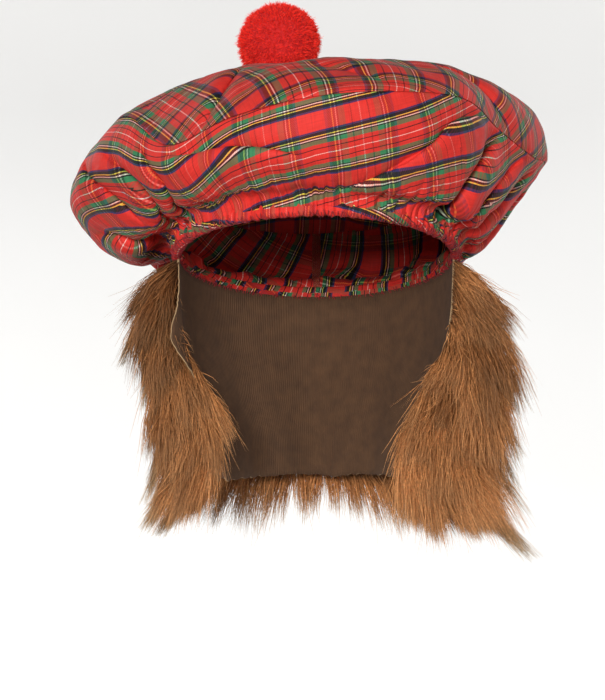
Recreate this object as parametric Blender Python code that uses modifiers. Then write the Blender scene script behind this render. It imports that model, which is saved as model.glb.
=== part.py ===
"""Tam o shanter: a soft tartan cap with a red pompom and a fringe of ginger faux-fur hair.

The cap is a top disc and a side band of cotton cloth, 1.6 mm thick as modelled, sewn together
at a seam and gathered into an elastic casing that grips the head. A curtain of faux fur hangs
from the casing, from one ear round the back to the other.

Metres, +Z up, the front of the cap towards -Y. The origin is the centre of the head opening.
The cap sits tilted back on the head, so its sections are worked out in an upright cap frame and
then turned about X by CAP_TILT. Azimuth 0 is the front and runs towards +X.
"""

import math
from collections import namedtuple

import bmesh
import bpy
import numpy as np
from mathutils import noise

# Head opening and casing
CAP_TILT = math.radians(12.5)
OPENING_HALF_WIDTH = 0.078
OPENING_HALF_DEPTH = 0.095
CASING_HEIGHT = 0.009
CASING_DEPTH = 0.0052
CASING_PUCKER = 0.0009

# Cloth. A gap keeps neighbouring pieces apart, and MERGE is the distance that welds a loft's seam.
CLOTH = 0.0016
GAP = 0.0003
MERGE = 1e-6
PROFILE_STEPS = 40
COLUMNS = 96
GATHERS = 32
GATHER_DEPTH = 0.0012
GATHER_REACH = 0.35
BAND_START = 0.0040
BRIM_REACH = 0.0090
BRIM_RISE = 0.0022
BAND_ROWS = 8
TOP_ROWS = 7
TOP_ROW_BIAS = 1.3
FOLD_END_SHARE = 0.12
BAND_EASE_AT_RIM = 0.12
BAND_EASE_AT_SEAM = 0.10
TOP_EASE_AT_SEAM = 0.15
TOP_EASE_AT_CENTRE = 0.30
SEAM_OVERHANG = 0.0030
SEAM_GAP = 0.0008
CROWN_CENTRE = (-0.0214, -0.013, 0.1030)
CENTRE_HANDLE = 0.045

# Pompom
POMPOM_RADIUS = 0.0243
POMPOM_SEAT = 0.0006
POMPOM_TUFT = 0.0011
POMPOM_TUFT_SPACING = 0.006
POMPOM_TUFT_CONTRAST = 1.6

# Faux-fur curtain. The azimuths of its two ends, and shares of its pile and of its width.
FUR_BACKING = 0.002
FUR_TOP_INSET = 0.0009
FUR_START = 86.0
FUR_END = 274.0
FUR_COLUMNS = 45
FUR_FAN_COLUMNS = 9
FUR_FAN_TURN = 1.95
FUR_FAN_SQUARE = 0.6
FUR_FAN_FORWARD = 0.019
FUR_FAN_INWARD = 0.012
FUR_FAN_LEAST = 0.0022
FUR_FAN_LEAST_SHARE = 0.15
FUR_FAN_TOP = 0.012
FUR_FAN_FALL = 0.050
FUR_FAN_SPAN = 0.16
FUR_FAN_RELIEF = 1.8
FUR_ROWS = 13
FUR_SIDE_SHARE = 0.38
FUR_LOCKS = 17
FUR_TIERS = 3
FUR_TIER_WANDER = 0.45
FUR_TIER_SHIFT = 0.35
FUR_FLICK_SHARE = 0.20
FUR_RIDGE_SHARE = 0.14
FUR_LOCK_UNEVEN = 0.13
FUR_TIP_RIGHT = -0.167
FUR_TIP_LEFT = -0.154
FUR_TIP_ROUND = 0.2
FUR_TIP_POWER = 0.6
FUR_TIP_MEET = 0.6
FUR_LOCK_WANDER_RATE = 2.1
FUR_DROOP = 0.25

# One row for each section round the cap, every 20 degrees: where the cloth leaves the casing
# (under), where it is widest (belly), the seam, and the handle that the top disc rises towards.
Section = namedtuple("Section", "azimuth under_r under_z belly_r belly_z seam_r seam_z roof_r roof_z")
SECTIONS = (
    Section(0, 0.113, 0.014, 0.134, 0.034, 0.138, 0.0575, 0.112, 0.095),
    Section(20, 0.111, 0.014, 0.130, 0.036, 0.134, 0.064, 0.110, 0.098),
    Section(40, 0.107, 0.013, 0.124, 0.038, 0.1265, 0.069, 0.112, 0.106),
    Section(60, 0.100, 0.012, 0.114, 0.036, 0.118, 0.064, 0.126, 0.118),
    Section(80, 0.095, 0.012, 0.112, 0.034, 0.127, 0.059, 0.139, 0.124),
    Section(100, 0.096, 0.012, 0.120, 0.042, 0.139, 0.067, 0.144, 0.127),
    Section(120, 0.100, 0.011, 0.131, 0.045, 0.141, 0.067, 0.140, 0.120),
    Section(140, 0.112, 0.008, 0.139, 0.038, 0.140, 0.062, 0.122, 0.102),
    Section(160, 0.114, 0.006, 0.145, 0.033, 0.140, 0.056, 0.116, 0.093),
    Section(180, 0.114, 0.005, 0.146, 0.031, 0.139, 0.052, 0.114, 0.090),
    Section(200, 0.114, 0.006, 0.145, 0.032, 0.138, 0.053, 0.114, 0.088),
    Section(220, 0.114, 0.009, 0.144, 0.036, 0.136, 0.057, 0.114, 0.089),
    Section(240, 0.112, 0.011, 0.142, 0.040, 0.133, 0.063, 0.112, 0.090),
    Section(260, 0.109, 0.003, 0.1415, 0.032, 0.127, 0.067, 0.107, 0.090),
    Section(280, 0.108, 0.003, 0.1405, 0.034, 0.118, 0.077, 0.100, 0.091),
    Section(300, 0.106, 0.009, 0.132, 0.040, 0.119, 0.070, 0.101, 0.092),
    Section(320, 0.110, 0.012, 0.128, 0.025, 0.125, 0.043, 0.114, 0.092),
    Section(340, 0.112, 0.013, 0.131, 0.028, 0.1305, 0.051, 0.113, 0.095),
)

# One row for each fold: its two ends, as azimuth and as share of the way from casing to seam on
# the band, or from seam to centre on the top disc, how deep it sinks, and its half width.
Fold = namedtuple("Fold", "start_azimuth start_share end_azimuth end_share depth half_width")
BAND_FOLDS = (
    Fold(-63, 0.00, -49, 0.82, 0.0060, 0.0065),
    Fold(-80, 0.00, -62, 0.78, 0.0065, 0.0065),
    Fold(-70, 0.15, -98, 0.85, 0.0060, 0.0075),
    Fold(-100, 0.10, -86, 0.50, 0.0080, 0.0065),
    Fold(-39, 0.66, -8, 0.56, 0.0055, 0.0060),
    Fold(53, 0.00, 56, 0.95, 0.0080, 0.0070),
    Fold(10, 0.15, 38, 0.82, 0.0035, 0.0070),
    Fold(76, 0.05, 84, 0.80, 0.0050, 0.0075),
    Fold(118, 0.05, 112, 0.75, 0.0060, 0.0080),
    Fold(146, 0.05, 152, 0.80, 0.0065, 0.0080),
    Fold(178, 0.05, 172, 0.75, 0.0060, 0.0080),
    Fold(204, 0.05, 212, 0.80, 0.0065, 0.0080),
    Fold(236, 0.05, 231, 0.80, 0.0060, 0.0080),
)
TOP_FOLDS = (
    Fold(-30, 0.08, -25, 0.42, 0.0060, 0.0100),
    Fold(-58, 0.05, -50, 0.50, 0.0040, 0.0100),
    Fold(62, 0.02, 48, 0.36, 0.0060, 0.0100),
    Fold(112, 0.05, 105, 0.60, 0.0045, 0.0120),
    Fold(165, 0.05, 172, 0.65, 0.0055, 0.0130),
    Fold(215, 0.05, 205, 0.65, 0.0050, 0.0120),
)

# One row for each corner of the casing's section, as shares of its depth, height and pucker.
CasingCorner = namedtuple("CasingCorner", "out up pucker")
CASING_SECTION = (
    CasingCorner(0.0, 0.04, 0.0),
    CasingCorner(0.42, 0.0, 0.5),
    CasingCorner(0.78, 0.45, 1.0),
    CasingCorner(1.0, 1.0, 0.0),
    CasingCorner(0.0, 1.0, 0.0),
)

# One row for each level of the fur curtain, from the casing down: height, how far the backing
# has closed in on the neck (of its half width and its half depth), and the depth of the pile at
# the +X side, at the back and at the -X side.
FurLevel = namedtuple("FurLevel", "z width depth pile_right pile_back pile_left")
FUR_LEVELS = (
    FurLevel(0.000, 1.00, 1.00, 0.008, 0.008, 0.010),
    FurLevel(-0.022, 0.99, 0.99, 0.034, 0.026, 0.040),
    FurLevel(-0.045, 0.96, 0.98, 0.047, 0.036, 0.045),
    FurLevel(-0.075, 0.86, 0.96, 0.064, 0.040, 0.042),
    FurLevel(-0.105, 0.73, 0.93, 0.074, 0.043, 0.048),
    FurLevel(-0.130, 0.71, 0.91, 0.074, 0.043, 0.048),
    FurLevel(-0.160, 0.74, 0.90, 0.072, 0.040, 0.047),
)

# Colour and roughness of each finish
TARTAN_RED, CLOTH_ROUGHNESS = (0.47, 0.017, 0.017, 1.0), 0.85
POMPOM_RED, YARN_ROUGHNESS = (0.60, 0.012, 0.010, 1.0), 0.95
GINGER, FUR_ROUGHNESS = (0.23, 0.088, 0.035, 1.0), 0.6


def clear_scene():
    """Removes every object that the scene holds."""
    for item in list(bpy.data.objects):
        bpy.data.objects.remove(item, do_unlink=True)


def make_collection(name):
    """A collection in the scene for the finished pieces."""
    collection = bpy.data.collections.new(name)
    bpy.context.scene.collection.children.link(collection)
    return collection


def make_material(name, colour, roughness):
    """A Principled material with no metal in it."""
    material = bpy.data.materials.new(name)
    material.use_nodes = True
    shader = material.node_tree.nodes["Principled BSDF"]
    shader.inputs["Base Color"].default_value = colour
    shader.inputs["Roughness"].default_value = roughness
    shader.inputs["Metallic"].default_value = 0.0
    material.diffuse_color = colour
    return material


def read_levels(heights, columns):
    """Columns of the fur's level table at the given heights, eased between rows."""
    rows = FUR_LEVELS[::-1]
    place = np.array([row.z for row in rows])
    index = np.clip(np.searchsorted(place, heights, side="right") - 1, 0, len(rows) - 2)
    share = np.clip((heights - place[index]) / (place[index + 1] - place[index]), 0.0, 1.0)
    ease = 0.5 * share + 0.5 * share * share * (3.0 - 2.0 * share)
    values = []
    for column in columns:
        data = np.array([getattr(row, column) for row in rows])
        values.append(data[index] * (1.0 - ease) + data[index + 1] * ease)
    return values


def read_sections(azimuths):
    """The section measures at each azimuth, on a smooth closed curve through the table."""
    table = np.array([row[1:] for row in SECTIONS])
    step = 360.0 / len(table)
    place = (azimuths % 360.0) / step
    index = np.floor(place).astype(int)
    t = (place - index)[:, None]
    before, here, after, beyond = (table[(index + shift) % len(table)] for shift in (-1, 0, 1, 2))
    slope_in = (after - before) / 2.0
    slope_out = (beyond - here) / 2.0
    return (
        here * (2 * t**3 - 3 * t**2 + 1)
        + slope_in * (t**3 - 2 * t**2 + t)
        + after * (3 * t**2 - 2 * t**3)
        + slope_out * (t**3 - t**2)
    )


def opening_radius(azimuths):
    """Radius of the elliptical head opening."""
    angle = np.radians(azimuths)
    across = OPENING_HALF_DEPTH * np.sin(angle)
    along = OPENING_HALF_WIDTH * np.cos(angle)
    return OPENING_HALF_WIDTH * OPENING_HALF_DEPTH / np.hypot(across, along)


def polar(azimuths, radius, height):
    """Points in the upright cap frame."""
    angle = np.radians(azimuths)
    return np.stack([radius * np.sin(angle), -radius * np.cos(angle), height + 0.0 * radius], axis=-1)


def tilt_back(points):
    """Turns points of the upright cap frame to the way the cap is worn."""
    turned = np.array(points, float)
    turned[..., 1] = points[..., 1] * math.cos(CAP_TILT) + points[..., 2] * math.sin(CAP_TILT)
    turned[..., 2] = points[..., 2] * math.cos(CAP_TILT) - points[..., 1] * math.sin(CAP_TILT)
    return turned


def curve_through(stations, steps):
    """A smooth curve through the stations of each section, steps points a stretch."""
    points = np.stack(stations, axis=1)
    chord = np.linalg.norm(np.diff(points, axis=1), axis=2) ** 0.5
    chord = chord[..., None]
    slope = np.diff(points, axis=1) / chord
    tangent = np.empty_like(points)
    inner = slope[:, :-1] * chord[:, 1:] + slope[:, 1:] * chord[:, :-1]
    tangent[:, 1:-1] = inner / (chord[:, :-1] + chord[:, 1:])
    tangent[:, 0] = slope[:, 0] + (slope[:, 0] - tangent[:, 1]) / 2
    tangent[:, -1] = slope[:, -1] + (slope[:, -1] - tangent[:, -2]) / 2
    stretches = []
    for k in range(points.shape[1] - 1):
        t = np.linspace(0.0, 1.0, steps)[None, :, None]
        start, end = points[:, k, None], points[:, k + 1, None]
        leave, arrive = tangent[:, k, None] * chord[:, k, None], tangent[:, k + 1, None] * chord[:, k, None]
        stretch = (
            (2 * t**3 - 3 * t**2 + 1) * start
            + (t**3 - 2 * t**2 + t) * leave
            + (3 * t**2 - 2 * t**3) * end
            + (t**3 - t**2) * arrive
        )
        stretches.append(stretch if k == 0 else stretch[:, 1:])
    return np.concatenate(stretches, axis=1)


def bezier(first, handle_a, handle_b, last, steps):
    """A Bezier curve for each section."""
    t = np.linspace(0.0, 1.0, steps)[None, :, None]
    first, handle_a, handle_b, last = (p[:, None] for p in (first, handle_a, handle_b, last))
    return (
        (1 - t) ** 3 * first
        + 3 * (1 - t) ** 2 * t * handle_a
        + 3 * (1 - t) * t**2 * handle_b
        + t**3 * last
    )


def cap_profiles(azimuths):
    """The band's and the top disc's outer curve at each azimuth, before any fold."""
    under_r, under_z, belly_r, belly_z, seam_r, seam_z, roof_r, roof_z = read_sections(azimuths).T
    start = polar(azimuths, opening_radius(azimuths) + BAND_START, CASING_HEIGHT + GAP)
    brim = polar(azimuths, opening_radius(azimuths) + BRIM_REACH, CASING_HEIGHT + BRIM_RISE)
    under = polar(azimuths, under_r, under_z)
    belly = polar(azimuths, belly_r, belly_z)
    seam = polar(azimuths, seam_r, seam_z)
    band = curve_through([start, brim, under, belly, seam], PROFILE_STEPS)
    centre = np.broadcast_to(np.array(CROWN_CENTRE), seam.shape)
    near_centre = centre + polar(azimuths, np.full(len(azimuths), CENTRE_HANDLE), 0.0)
    top = bezier(seam, polar(azimuths, roof_r, roof_z), near_centre, centre, 2 * PROFILE_STEPS)
    return band, top


def lengths_along(curves):
    """Running length of each curve."""
    step = np.linalg.norm(np.diff(curves, axis=1), axis=2)
    return np.concatenate([np.zeros((len(curves), 1)), np.cumsum(step, axis=1)], axis=1)


def sample_curves(curves, start, end, shares):
    """Points of each curve at shares of the way between two lengths along it."""
    length = lengths_along(curves)
    rows = np.empty((len(curves), len(shares), 3))
    for i, curve in enumerate(curves):
        wanted = start[i] + (end[i] - start[i]) * shares
        for axis in range(3):
            rows[i, :, axis] = np.interp(wanted, length[i], curve[:, axis])
    return rows


def grid_normals(grid):
    """Outward unit normals of a grid of sections that closes on itself."""
    around = np.roll(grid, -1, axis=0) - np.roll(grid, 1, axis=0)
    along = np.gradient(grid, axis=1)
    normal = np.cross(around, along)
    size = np.linalg.norm(normal, axis=2, keepdims=True)
    return normal / np.maximum(size, 1e-9)


def fold_depth(folds, azimuths, shares, radius, length):
    """How far the folds sink the cloth at each point of a grid."""
    depth = np.zeros((len(azimuths), len(shares)))
    for fold in folds:
        middle = math.radians((fold.start_azimuth + fold.end_azimuth) / 2)
        turn = np.radians(azimuths) - middle
        turn = np.arctan2(np.sin(turn), np.cos(turn))
        across = (turn * radius)[:, None] + 0.0 * shares
        down = length[:, None] * shares[None, :]
        half = math.radians(fold.end_azimuth - fold.start_azimuth) / 2 * radius[:, None]
        first = np.stack([-half + 0.0 * down, length[:, None] * fold.start_share + 0.0 * down], axis=-1)
        last = np.stack([half + 0.0 * down, length[:, None] * fold.end_share + 0.0 * down], axis=-1)
        here = np.stack([across, down], axis=-1)
        run = last - first
        share = ((here - first) * run).sum(-1) / (run * run).sum(-1)
        held = np.clip(share, 0.0, 1.0)
        miss = np.linalg.norm(here - first - held[..., None] * run, axis=-1)
        fade = np.sin(np.pi * (FOLD_END_SHARE + (1.0 - 2 * FOLD_END_SHARE) * held))
        depth += fold.depth * fade * np.exp(-((miss / fold.half_width) ** 2))
    return depth


def column_azimuths():
    """The azimuths of the cloth's columns."""
    return np.arange(COLUMNS) * 360.0 / COLUMNS


def gather_wave(azimuths):
    """1 in the valleys and 0 on the crests of the gathers."""
    return 0.5 + 0.5 * np.cos(np.radians(azimuths) * GATHERS)


def ease_ends(shares, first, last):
    """Rises from 0 over the first share of the way, and falls to 0 over the last."""
    return np.clip(shares / first, 0.0, 1.0) * np.clip((1.0 - shares) / last, 0.0, 1.0)


def band_grid():
    """The outer surface of the side band, from the casing to just below the seam."""
    azimuths = column_azimuths()
    band, _ = cap_profiles(azimuths)
    length = lengths_along(band)[:, -1]
    shares = np.linspace(0.0, 1.0, BAND_ROWS + 1)
    grid = sample_curves(band, np.zeros(COLUMNS), length - SEAM_OVERHANG, shares)
    radius = np.hypot(grid[..., 0], grid[..., 1]).mean(axis=1)
    depth = fold_depth(BAND_FOLDS, azimuths, shares, radius, length)
    gather = GATHER_DEPTH * gather_wave(azimuths)[:, None] * np.clip(1.0 - shares / GATHER_REACH, 0.0, 1.0)
    sink = gather + depth * ease_ends(shares, BAND_EASE_AT_RIM, BAND_EASE_AT_SEAM)
    return grid - grid_normals(grid) * sink[..., None]


def top_grid():
    """The outer surface of the top disc, from just below the seam to its centre."""
    azimuths = column_azimuths()
    band, top = cap_profiles(azimuths)
    band_length = lengths_along(band)[:, -1]
    lip = sample_curves(band, band_length - SEAM_OVERHANG + SEAM_GAP, band_length, np.array([0.0]))
    length = lengths_along(top)[:, -1]
    shares = np.linspace(0.0, 1.0, TOP_ROWS + 1) ** TOP_ROW_BIAS
    disc = sample_curves(top, np.zeros(COLUMNS), length, shares)
    radius = np.hypot(disc[..., 0], disc[..., 1]).mean(axis=1)
    depth = fold_depth(TOP_FOLDS, azimuths, shares, radius, length)
    sink = depth * ease_ends(shares, TOP_EASE_AT_SEAM, TOP_EASE_AT_CENTRE)
    disc = disc - grid_normals(disc) * sink[..., None]
    return np.concatenate([lip, disc[:, :-1]], axis=1), disc[:, -1].mean(axis=0)


def object_from_bmesh(name, shape, material, collection):
    """Turns a bmesh into a smooth-shaded object of the collection."""
    mesh = bpy.data.meshes.new(name)
    shape.to_mesh(mesh)
    shape.free()
    mesh.materials.append(material)
    mesh.shade_smooth()
    item = bpy.data.objects.new(name, mesh)
    collection.objects.link(item)
    return item


def skin(shape, grid, closed_round):
    """Quads between the columns of a grid; returns its vertices, column by column."""
    verts = [[shape.verts.new(point) for point in column] for column in grid]
    last = len(verts) if closed_round else len(verts) - 1
    for i in range(last):
        here, there = verts[i], verts[(i + 1) % len(verts)]
        for j in range(len(here) - 1):
            shape.faces.new((here[j], there[j], there[j + 1], here[j + 1]))
    return verts


def add_wall(item):
    """Gives an open cloth surface its thickness, on the inner side."""
    wall = item.modifiers.new("cloth", "SOLIDIFY")
    wall.thickness = CLOTH
    wall.offset = -1.0
    wall.use_even_offset = True
    wall.thickness_clamp = 0.0


def make_crown_band(collection):
    """The side band, gathered into the casing at its lower edge."""
    shape = bmesh.new()
    skin(shape, tilt_back(band_grid()), closed_round=True)
    item = object_from_bmesh(
        "crown_band", shape, make_material("tartan_cloth_band", TARTAN_RED, CLOTH_ROUGHNESS), collection
    )
    add_wall(item)
    return item


def make_crown_top(collection):
    """The top disc, turned down over the seam."""
    grid, centre = top_grid()
    shape = bmesh.new()
    verts = skin(shape, tilt_back(grid), closed_round=True)
    hub = shape.verts.new(tilt_back(centre[None, :])[0])
    for i in range(COLUMNS):
        shape.faces.new((verts[i][-1], verts[(i + 1) % COLUMNS][-1], hub))
    item = object_from_bmesh(
        "crown_top", shape, make_material("tartan_cloth_top", TARTAN_RED, CLOTH_ROUGHNESS), collection
    )
    add_wall(item)
    return item


def make_elastic_casing(collection):
    """The hem that holds the elastic: a puckered ring round the head opening."""
    azimuths = column_azimuths()
    inner = opening_radius(azimuths)
    pucker = CASING_PUCKER * gather_wave(azimuths)
    ring = [
        polar(azimuths, inner + row.out * CASING_DEPTH + row.pucker * pucker, row.up * CASING_HEIGHT)
        for row in CASING_SECTION
    ]
    grid = tilt_back(np.stack(ring + ring[:1], axis=1))
    shape = bmesh.new()
    skin(shape, grid, closed_round=True)
    bmesh.ops.remove_doubles(shape, verts=shape.verts, dist=MERGE)
    bmesh.ops.recalc_face_normals(shape, faces=shape.faces)
    return object_from_bmesh(
        "elastic_casing", shape, make_material("tartan_cloth_casing", TARTAN_RED, CLOTH_ROUGHNESS), collection
    )


def make_pompom(collection):
    """A ball of short cut yarn, in small tufts, resting on the top disc."""
    rest = np.array(CROWN_CENTRE) + np.array([0.0, 0.0, POMPOM_RADIUS + POMPOM_SEAT])
    centre = tilt_back(rest[None, :])[0]
    shape = bmesh.new()
    bmesh.ops.create_icosphere(shape, subdivisions=4, radius=POMPOM_RADIUS)
    for vert in shape.verts:
        tuft = POMPOM_TUFT_CONTRAST * noise.noise(vert.co / POMPOM_TUFT_SPACING)
        vert.co = vert.co * (1.0 + POMPOM_TUFT / POMPOM_RADIUS * max(-1.0, min(1.0, tuft)))
    item = object_from_bmesh(
        "pompom", shape, make_material("red_yarn", POMPOM_RED, YARN_ROUGHNESS), collection
    )
    item.location = centre
    return item


def fur_backing_point(azimuths, levels):
    """Inner face of the fur's backing, for each azimuth and each level from 0 to 1."""
    top = tilt_back(polar(azimuths, opening_radius(azimuths) + FUR_TOP_INSET, -GAP))
    lowest = FUR_LEVELS[-1].z
    drop = top[:, None, 2] + (lowest - top[:, None, 2]) * levels[None, :]
    width, depth = read_levels(drop, ("width", "depth"))
    return np.stack([top[:, None, 0] * width, top[:, None, 1] * depth, drop], axis=-1)


def arc_outward(azimuths):
    """Horizontal outward direction of the curtain at each azimuth."""
    angle = np.radians(azimuths)
    out = np.stack(
        [np.sin(angle) / OPENING_HALF_WIDTH, -np.cos(angle) / OPENING_HALF_DEPTH, 0.0 * angle], axis=-1
    )
    return out / np.linalg.norm(out, axis=1, keepdims=True)


def fur_pile(across, heights):
    """Full depth of the pile at each point, read between the two sides and the back."""
    right, back, left = read_levels(heights, ("pile_right", "pile_back", "pile_left"))
    side = np.clip((0.5 - across) / FUR_SIDE_SHARE, -1.0, 1.0)[:, None]
    return back + (right - back) * np.maximum(side, 0.0) + (left - back) * np.maximum(-side, 0.0)


def fur_locks(across, down):
    """Share of the full pile at each point: locks side by side, in tiers that overlap."""
    place = across[:, None] * FUR_LOCKS
    tier = down[None, :] * FUR_TIERS + FUR_TIER_WANDER * np.sin(place * FUR_LOCK_WANDER_RATE)
    flick = tier - np.floor(tier)
    ridge = 0.5 + 0.5 * np.cos(2 * math.pi * (place + FUR_TIER_SHIFT * np.floor(tier)))
    full = 1.0 - FUR_FLICK_SHARE - FUR_RIDGE_SHARE
    return full + FUR_FLICK_SHARE * flick**1.5 + FUR_RIDGE_SHARE * ridge * flick


def fur_columns():
    """Each column's azimuth, its share of the way across, and how far its pile has turned forward.

    At the two free ends the pile fans out round the backing's edge, from outwards to forwards and
    then a little inwards, so several columns stand on the same edge.
    """
    fan = np.linspace(1.0, 0.0, FUR_FAN_COLUMNS, endpoint=False)
    still = np.ones(FUR_FAN_COLUMNS)
    plain = np.linspace(0.0, 1.0, FUR_COLUMNS)
    azimuths = FUR_START + (FUR_END - FUR_START) * plain
    azimuths = np.concatenate([FUR_START * still, azimuths, FUR_END * still])
    across = np.concatenate([-FUR_FAN_SPAN * fan, plain, 1.0 + FUR_FAN_SPAN * fan[::-1]])
    turn = np.concatenate([fan, np.zeros(FUR_COLUMNS), fan[::-1]]) * FUR_FAN_TURN
    return azimuths, across, turn


def fur_offsets(azimuths, turn, heights, thick):
    """How far the pile's outer face stands from the backing at each point."""
    fall = np.clip((-heights - FUR_FAN_TOP) / FUR_FAN_FALL, 0.0, 1.0)
    beyond = FUR_FAN_INWARD * (FUR_FAN_LEAST_SHARE + (1.0 - FUR_FAN_LEAST_SHARE) * fall)
    aside = np.cos(turn)[:, None]
    reach_out = np.abs(aside) ** FUR_FAN_SQUARE * np.where(aside >= 0.0, thick, -beyond)
    forward = (FUR_FAN_LEAST + FUR_FAN_FORWARD * fall) * np.sin(turn)[:, None] ** FUR_FAN_SQUARE
    offsets = arc_outward(azimuths)[:, None, :] * reach_out[..., None]
    offsets[..., 1] -= forward
    return offsets


def make_hair_curtain(collection):
    """The faux-fur curtain: locks of pile on their backing, as one closed body."""
    azimuths, across, turn = fur_columns()
    levels = np.linspace(0.0, 1.0, FUR_ROWS)
    inner = fur_backing_point(azimuths, levels)
    top = inner[:, :1, 2]
    uneven, on_backing = (
        FUR_LOCK_UNEVEN * (0.5 - 0.5 * np.cos(math.pi * place * FUR_LOCKS))
        for place in (across, np.clip(across, 0.0, 1.0))
    )
    tip = FUR_TIP_RIGHT + (FUR_TIP_LEFT - FUR_TIP_RIGHT) * np.clip(across, 0.0, 1.0)
    reach = (1.0 - on_backing) * (tip - top[:, 0]) / (FUR_LEVELS[-1].z - top[:, 0])
    inner[..., 2] = top + (inner[..., 2] - top) * reach[:, None]
    locks = fur_locks(across, levels)
    thick = fur_pile(across, inner[..., 2]) * np.where(turn[:, None] > 0.0, 1.0, locks)
    offsets = fur_offsets(azimuths, turn, inner[..., 2], np.maximum(thick, FUR_BACKING))
    offsets *= np.where(turn[:, None] > 0.0, locks**FUR_FAN_RELIEF, 1.0)[..., None]
    open_share = np.clip((1.0 - levels) / FUR_TIP_ROUND, 0.0, 1.0)[None, :, None] ** FUR_TIP_POWER
    outer = inner + offsets * (FUR_TIP_MEET + (1.0 - FUR_TIP_MEET) * open_share)
    inner = inner + offsets * FUR_TIP_MEET * (1.0 - open_share)
    closed = (np.linalg.norm(outer - inner, axis=-1) < FUR_BACKING) & (open_share[..., 0] < 1.0)
    way = offsets / np.linalg.norm(offsets, axis=-1, keepdims=True)
    outer = np.where(closed[..., None], inner + way * FUR_BACKING, outer)
    outer[..., 2] += (uneven - on_backing)[:, None] * (top - inner[..., 2])
    slope = math.tan(CAP_TILT) * (1.0 - levels)
    outer[..., 2] -= slope * np.maximum(outer[..., 1] - inner[..., 1], 0.0)
    outer[..., 2] -= FUR_DROOP * np.linalg.norm(offsets, axis=-1) * levels * open_share[..., 0]
    loop = np.concatenate([outer, inner[:, ::-1], outer[:, :1]], axis=1)
    shape = bmesh.new()
    verts = skin(shape, loop, closed_round=False)
    for column in (verts[0], verts[-1]):
        for j in range(FUR_ROWS - 1):
            shape.faces.new((column[j], column[j + 1], column[-3 - j], column[-2 - j]))
    bmesh.ops.remove_doubles(shape, verts=shape.verts, dist=MERGE)
    bmesh.ops.recalc_face_normals(shape, faces=shape.faces)
    return object_from_bmesh(
        "hair_curtain", shape, make_material("ginger_faux_fur", GINGER, FUR_ROUGHNESS), collection
    )


def main():
    """Builds the cap."""
    clear_scene()
    collection = make_collection("tam_o_shanter")
    make_crown_band(collection)
    make_crown_top(collection)
    make_elastic_casing(collection)
    make_pompom(collection)
    make_hair_curtain(collection)


main()
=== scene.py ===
"""Dresses a tartan tam o shanter, with its red pompom and ginger faux-fur hair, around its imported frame.

Metres, +Z up, the front of the cap towards -Y. The origin is the centre of the head opening.
The cap sits tilted back, so its cloth is worked out in an upright cap frame and then turned.
Azimuth 0 is the front and runs towards +X. Shares run from 0 at the casing to 1 at the seam on
the side band, and from 0 at the seam to 1 at the centre on the top disc.
"""

from __future__ import annotations

import logging
import math
from dataclasses import dataclass, field
from enum import Enum
from typing import Any, NamedTuple

import bmesh
import bpy
import numpy as np
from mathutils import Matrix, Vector, noise

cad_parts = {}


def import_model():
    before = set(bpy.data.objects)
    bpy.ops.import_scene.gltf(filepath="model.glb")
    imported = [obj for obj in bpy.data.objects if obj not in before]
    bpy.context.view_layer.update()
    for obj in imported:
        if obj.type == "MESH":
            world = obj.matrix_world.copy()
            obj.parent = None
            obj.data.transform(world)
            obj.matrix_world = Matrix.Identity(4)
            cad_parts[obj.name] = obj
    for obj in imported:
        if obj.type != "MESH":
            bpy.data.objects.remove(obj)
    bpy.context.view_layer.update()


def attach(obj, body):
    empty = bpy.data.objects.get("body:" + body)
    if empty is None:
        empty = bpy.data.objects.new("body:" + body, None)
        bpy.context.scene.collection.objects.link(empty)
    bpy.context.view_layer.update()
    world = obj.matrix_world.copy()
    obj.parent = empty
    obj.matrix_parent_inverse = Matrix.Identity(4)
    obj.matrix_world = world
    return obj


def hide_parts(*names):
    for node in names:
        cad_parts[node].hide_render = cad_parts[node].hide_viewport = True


LOG = logging.getLogger("tam_o_shanter")
BODY = "root"
MM = 0.001
MATHS = "ShaderNodeMath"
VECTORS = "ShaderNodeVectorMath"
MIXED = "ShaderNodeMixRGB"
NOISE = "ShaderNodeTexNoise"

Array = np.ndarray
Item = bpy.types.Object
Material = bpy.types.Material
Socket = bpy.types.NodeSocket
Tree = bpy.types.NodeTree


class Slot(Enum):
    """The record's material slots."""

    TARTAN = "tartan_cloth"
    YARN = "red_yarn"
    FUR = "ginger_faux_fur"


class Section(NamedTuple):
    """One section of the cap: under the belly, the belly, the seam and the roof's handle."""

    azimuth: float
    under_r: float
    under_z: float
    belly_r: float
    belly_z: float
    seam_r: float
    seam_z: float
    roof_r: float
    roof_z: float


class Fold(NamedTuple):
    """A pleat: its stations as (azimuth, share), and its measures in millimetres.

    The cloth dips by depth. It falls gently over the under width and climbs back within the over
    width, where its crest leans across the valley. The over side is on the right of the stations'
    way, seen from outside. Hidden is how much cloth the pleat swallows, as a share of its depth.
    """

    stations: tuple[tuple[float, float], ...]
    depth: float
    under: float = 5.4
    over: float = 1.3
    lean: float = 2.8
    hidden: float = 1.0


class FurLevel(NamedTuple):
    """One level of the hair: how far its backing closes in, and its pile's depth."""

    z: float
    width: float
    depth: float
    pile_right: float
    pile_back: float
    pile_left: float


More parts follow.
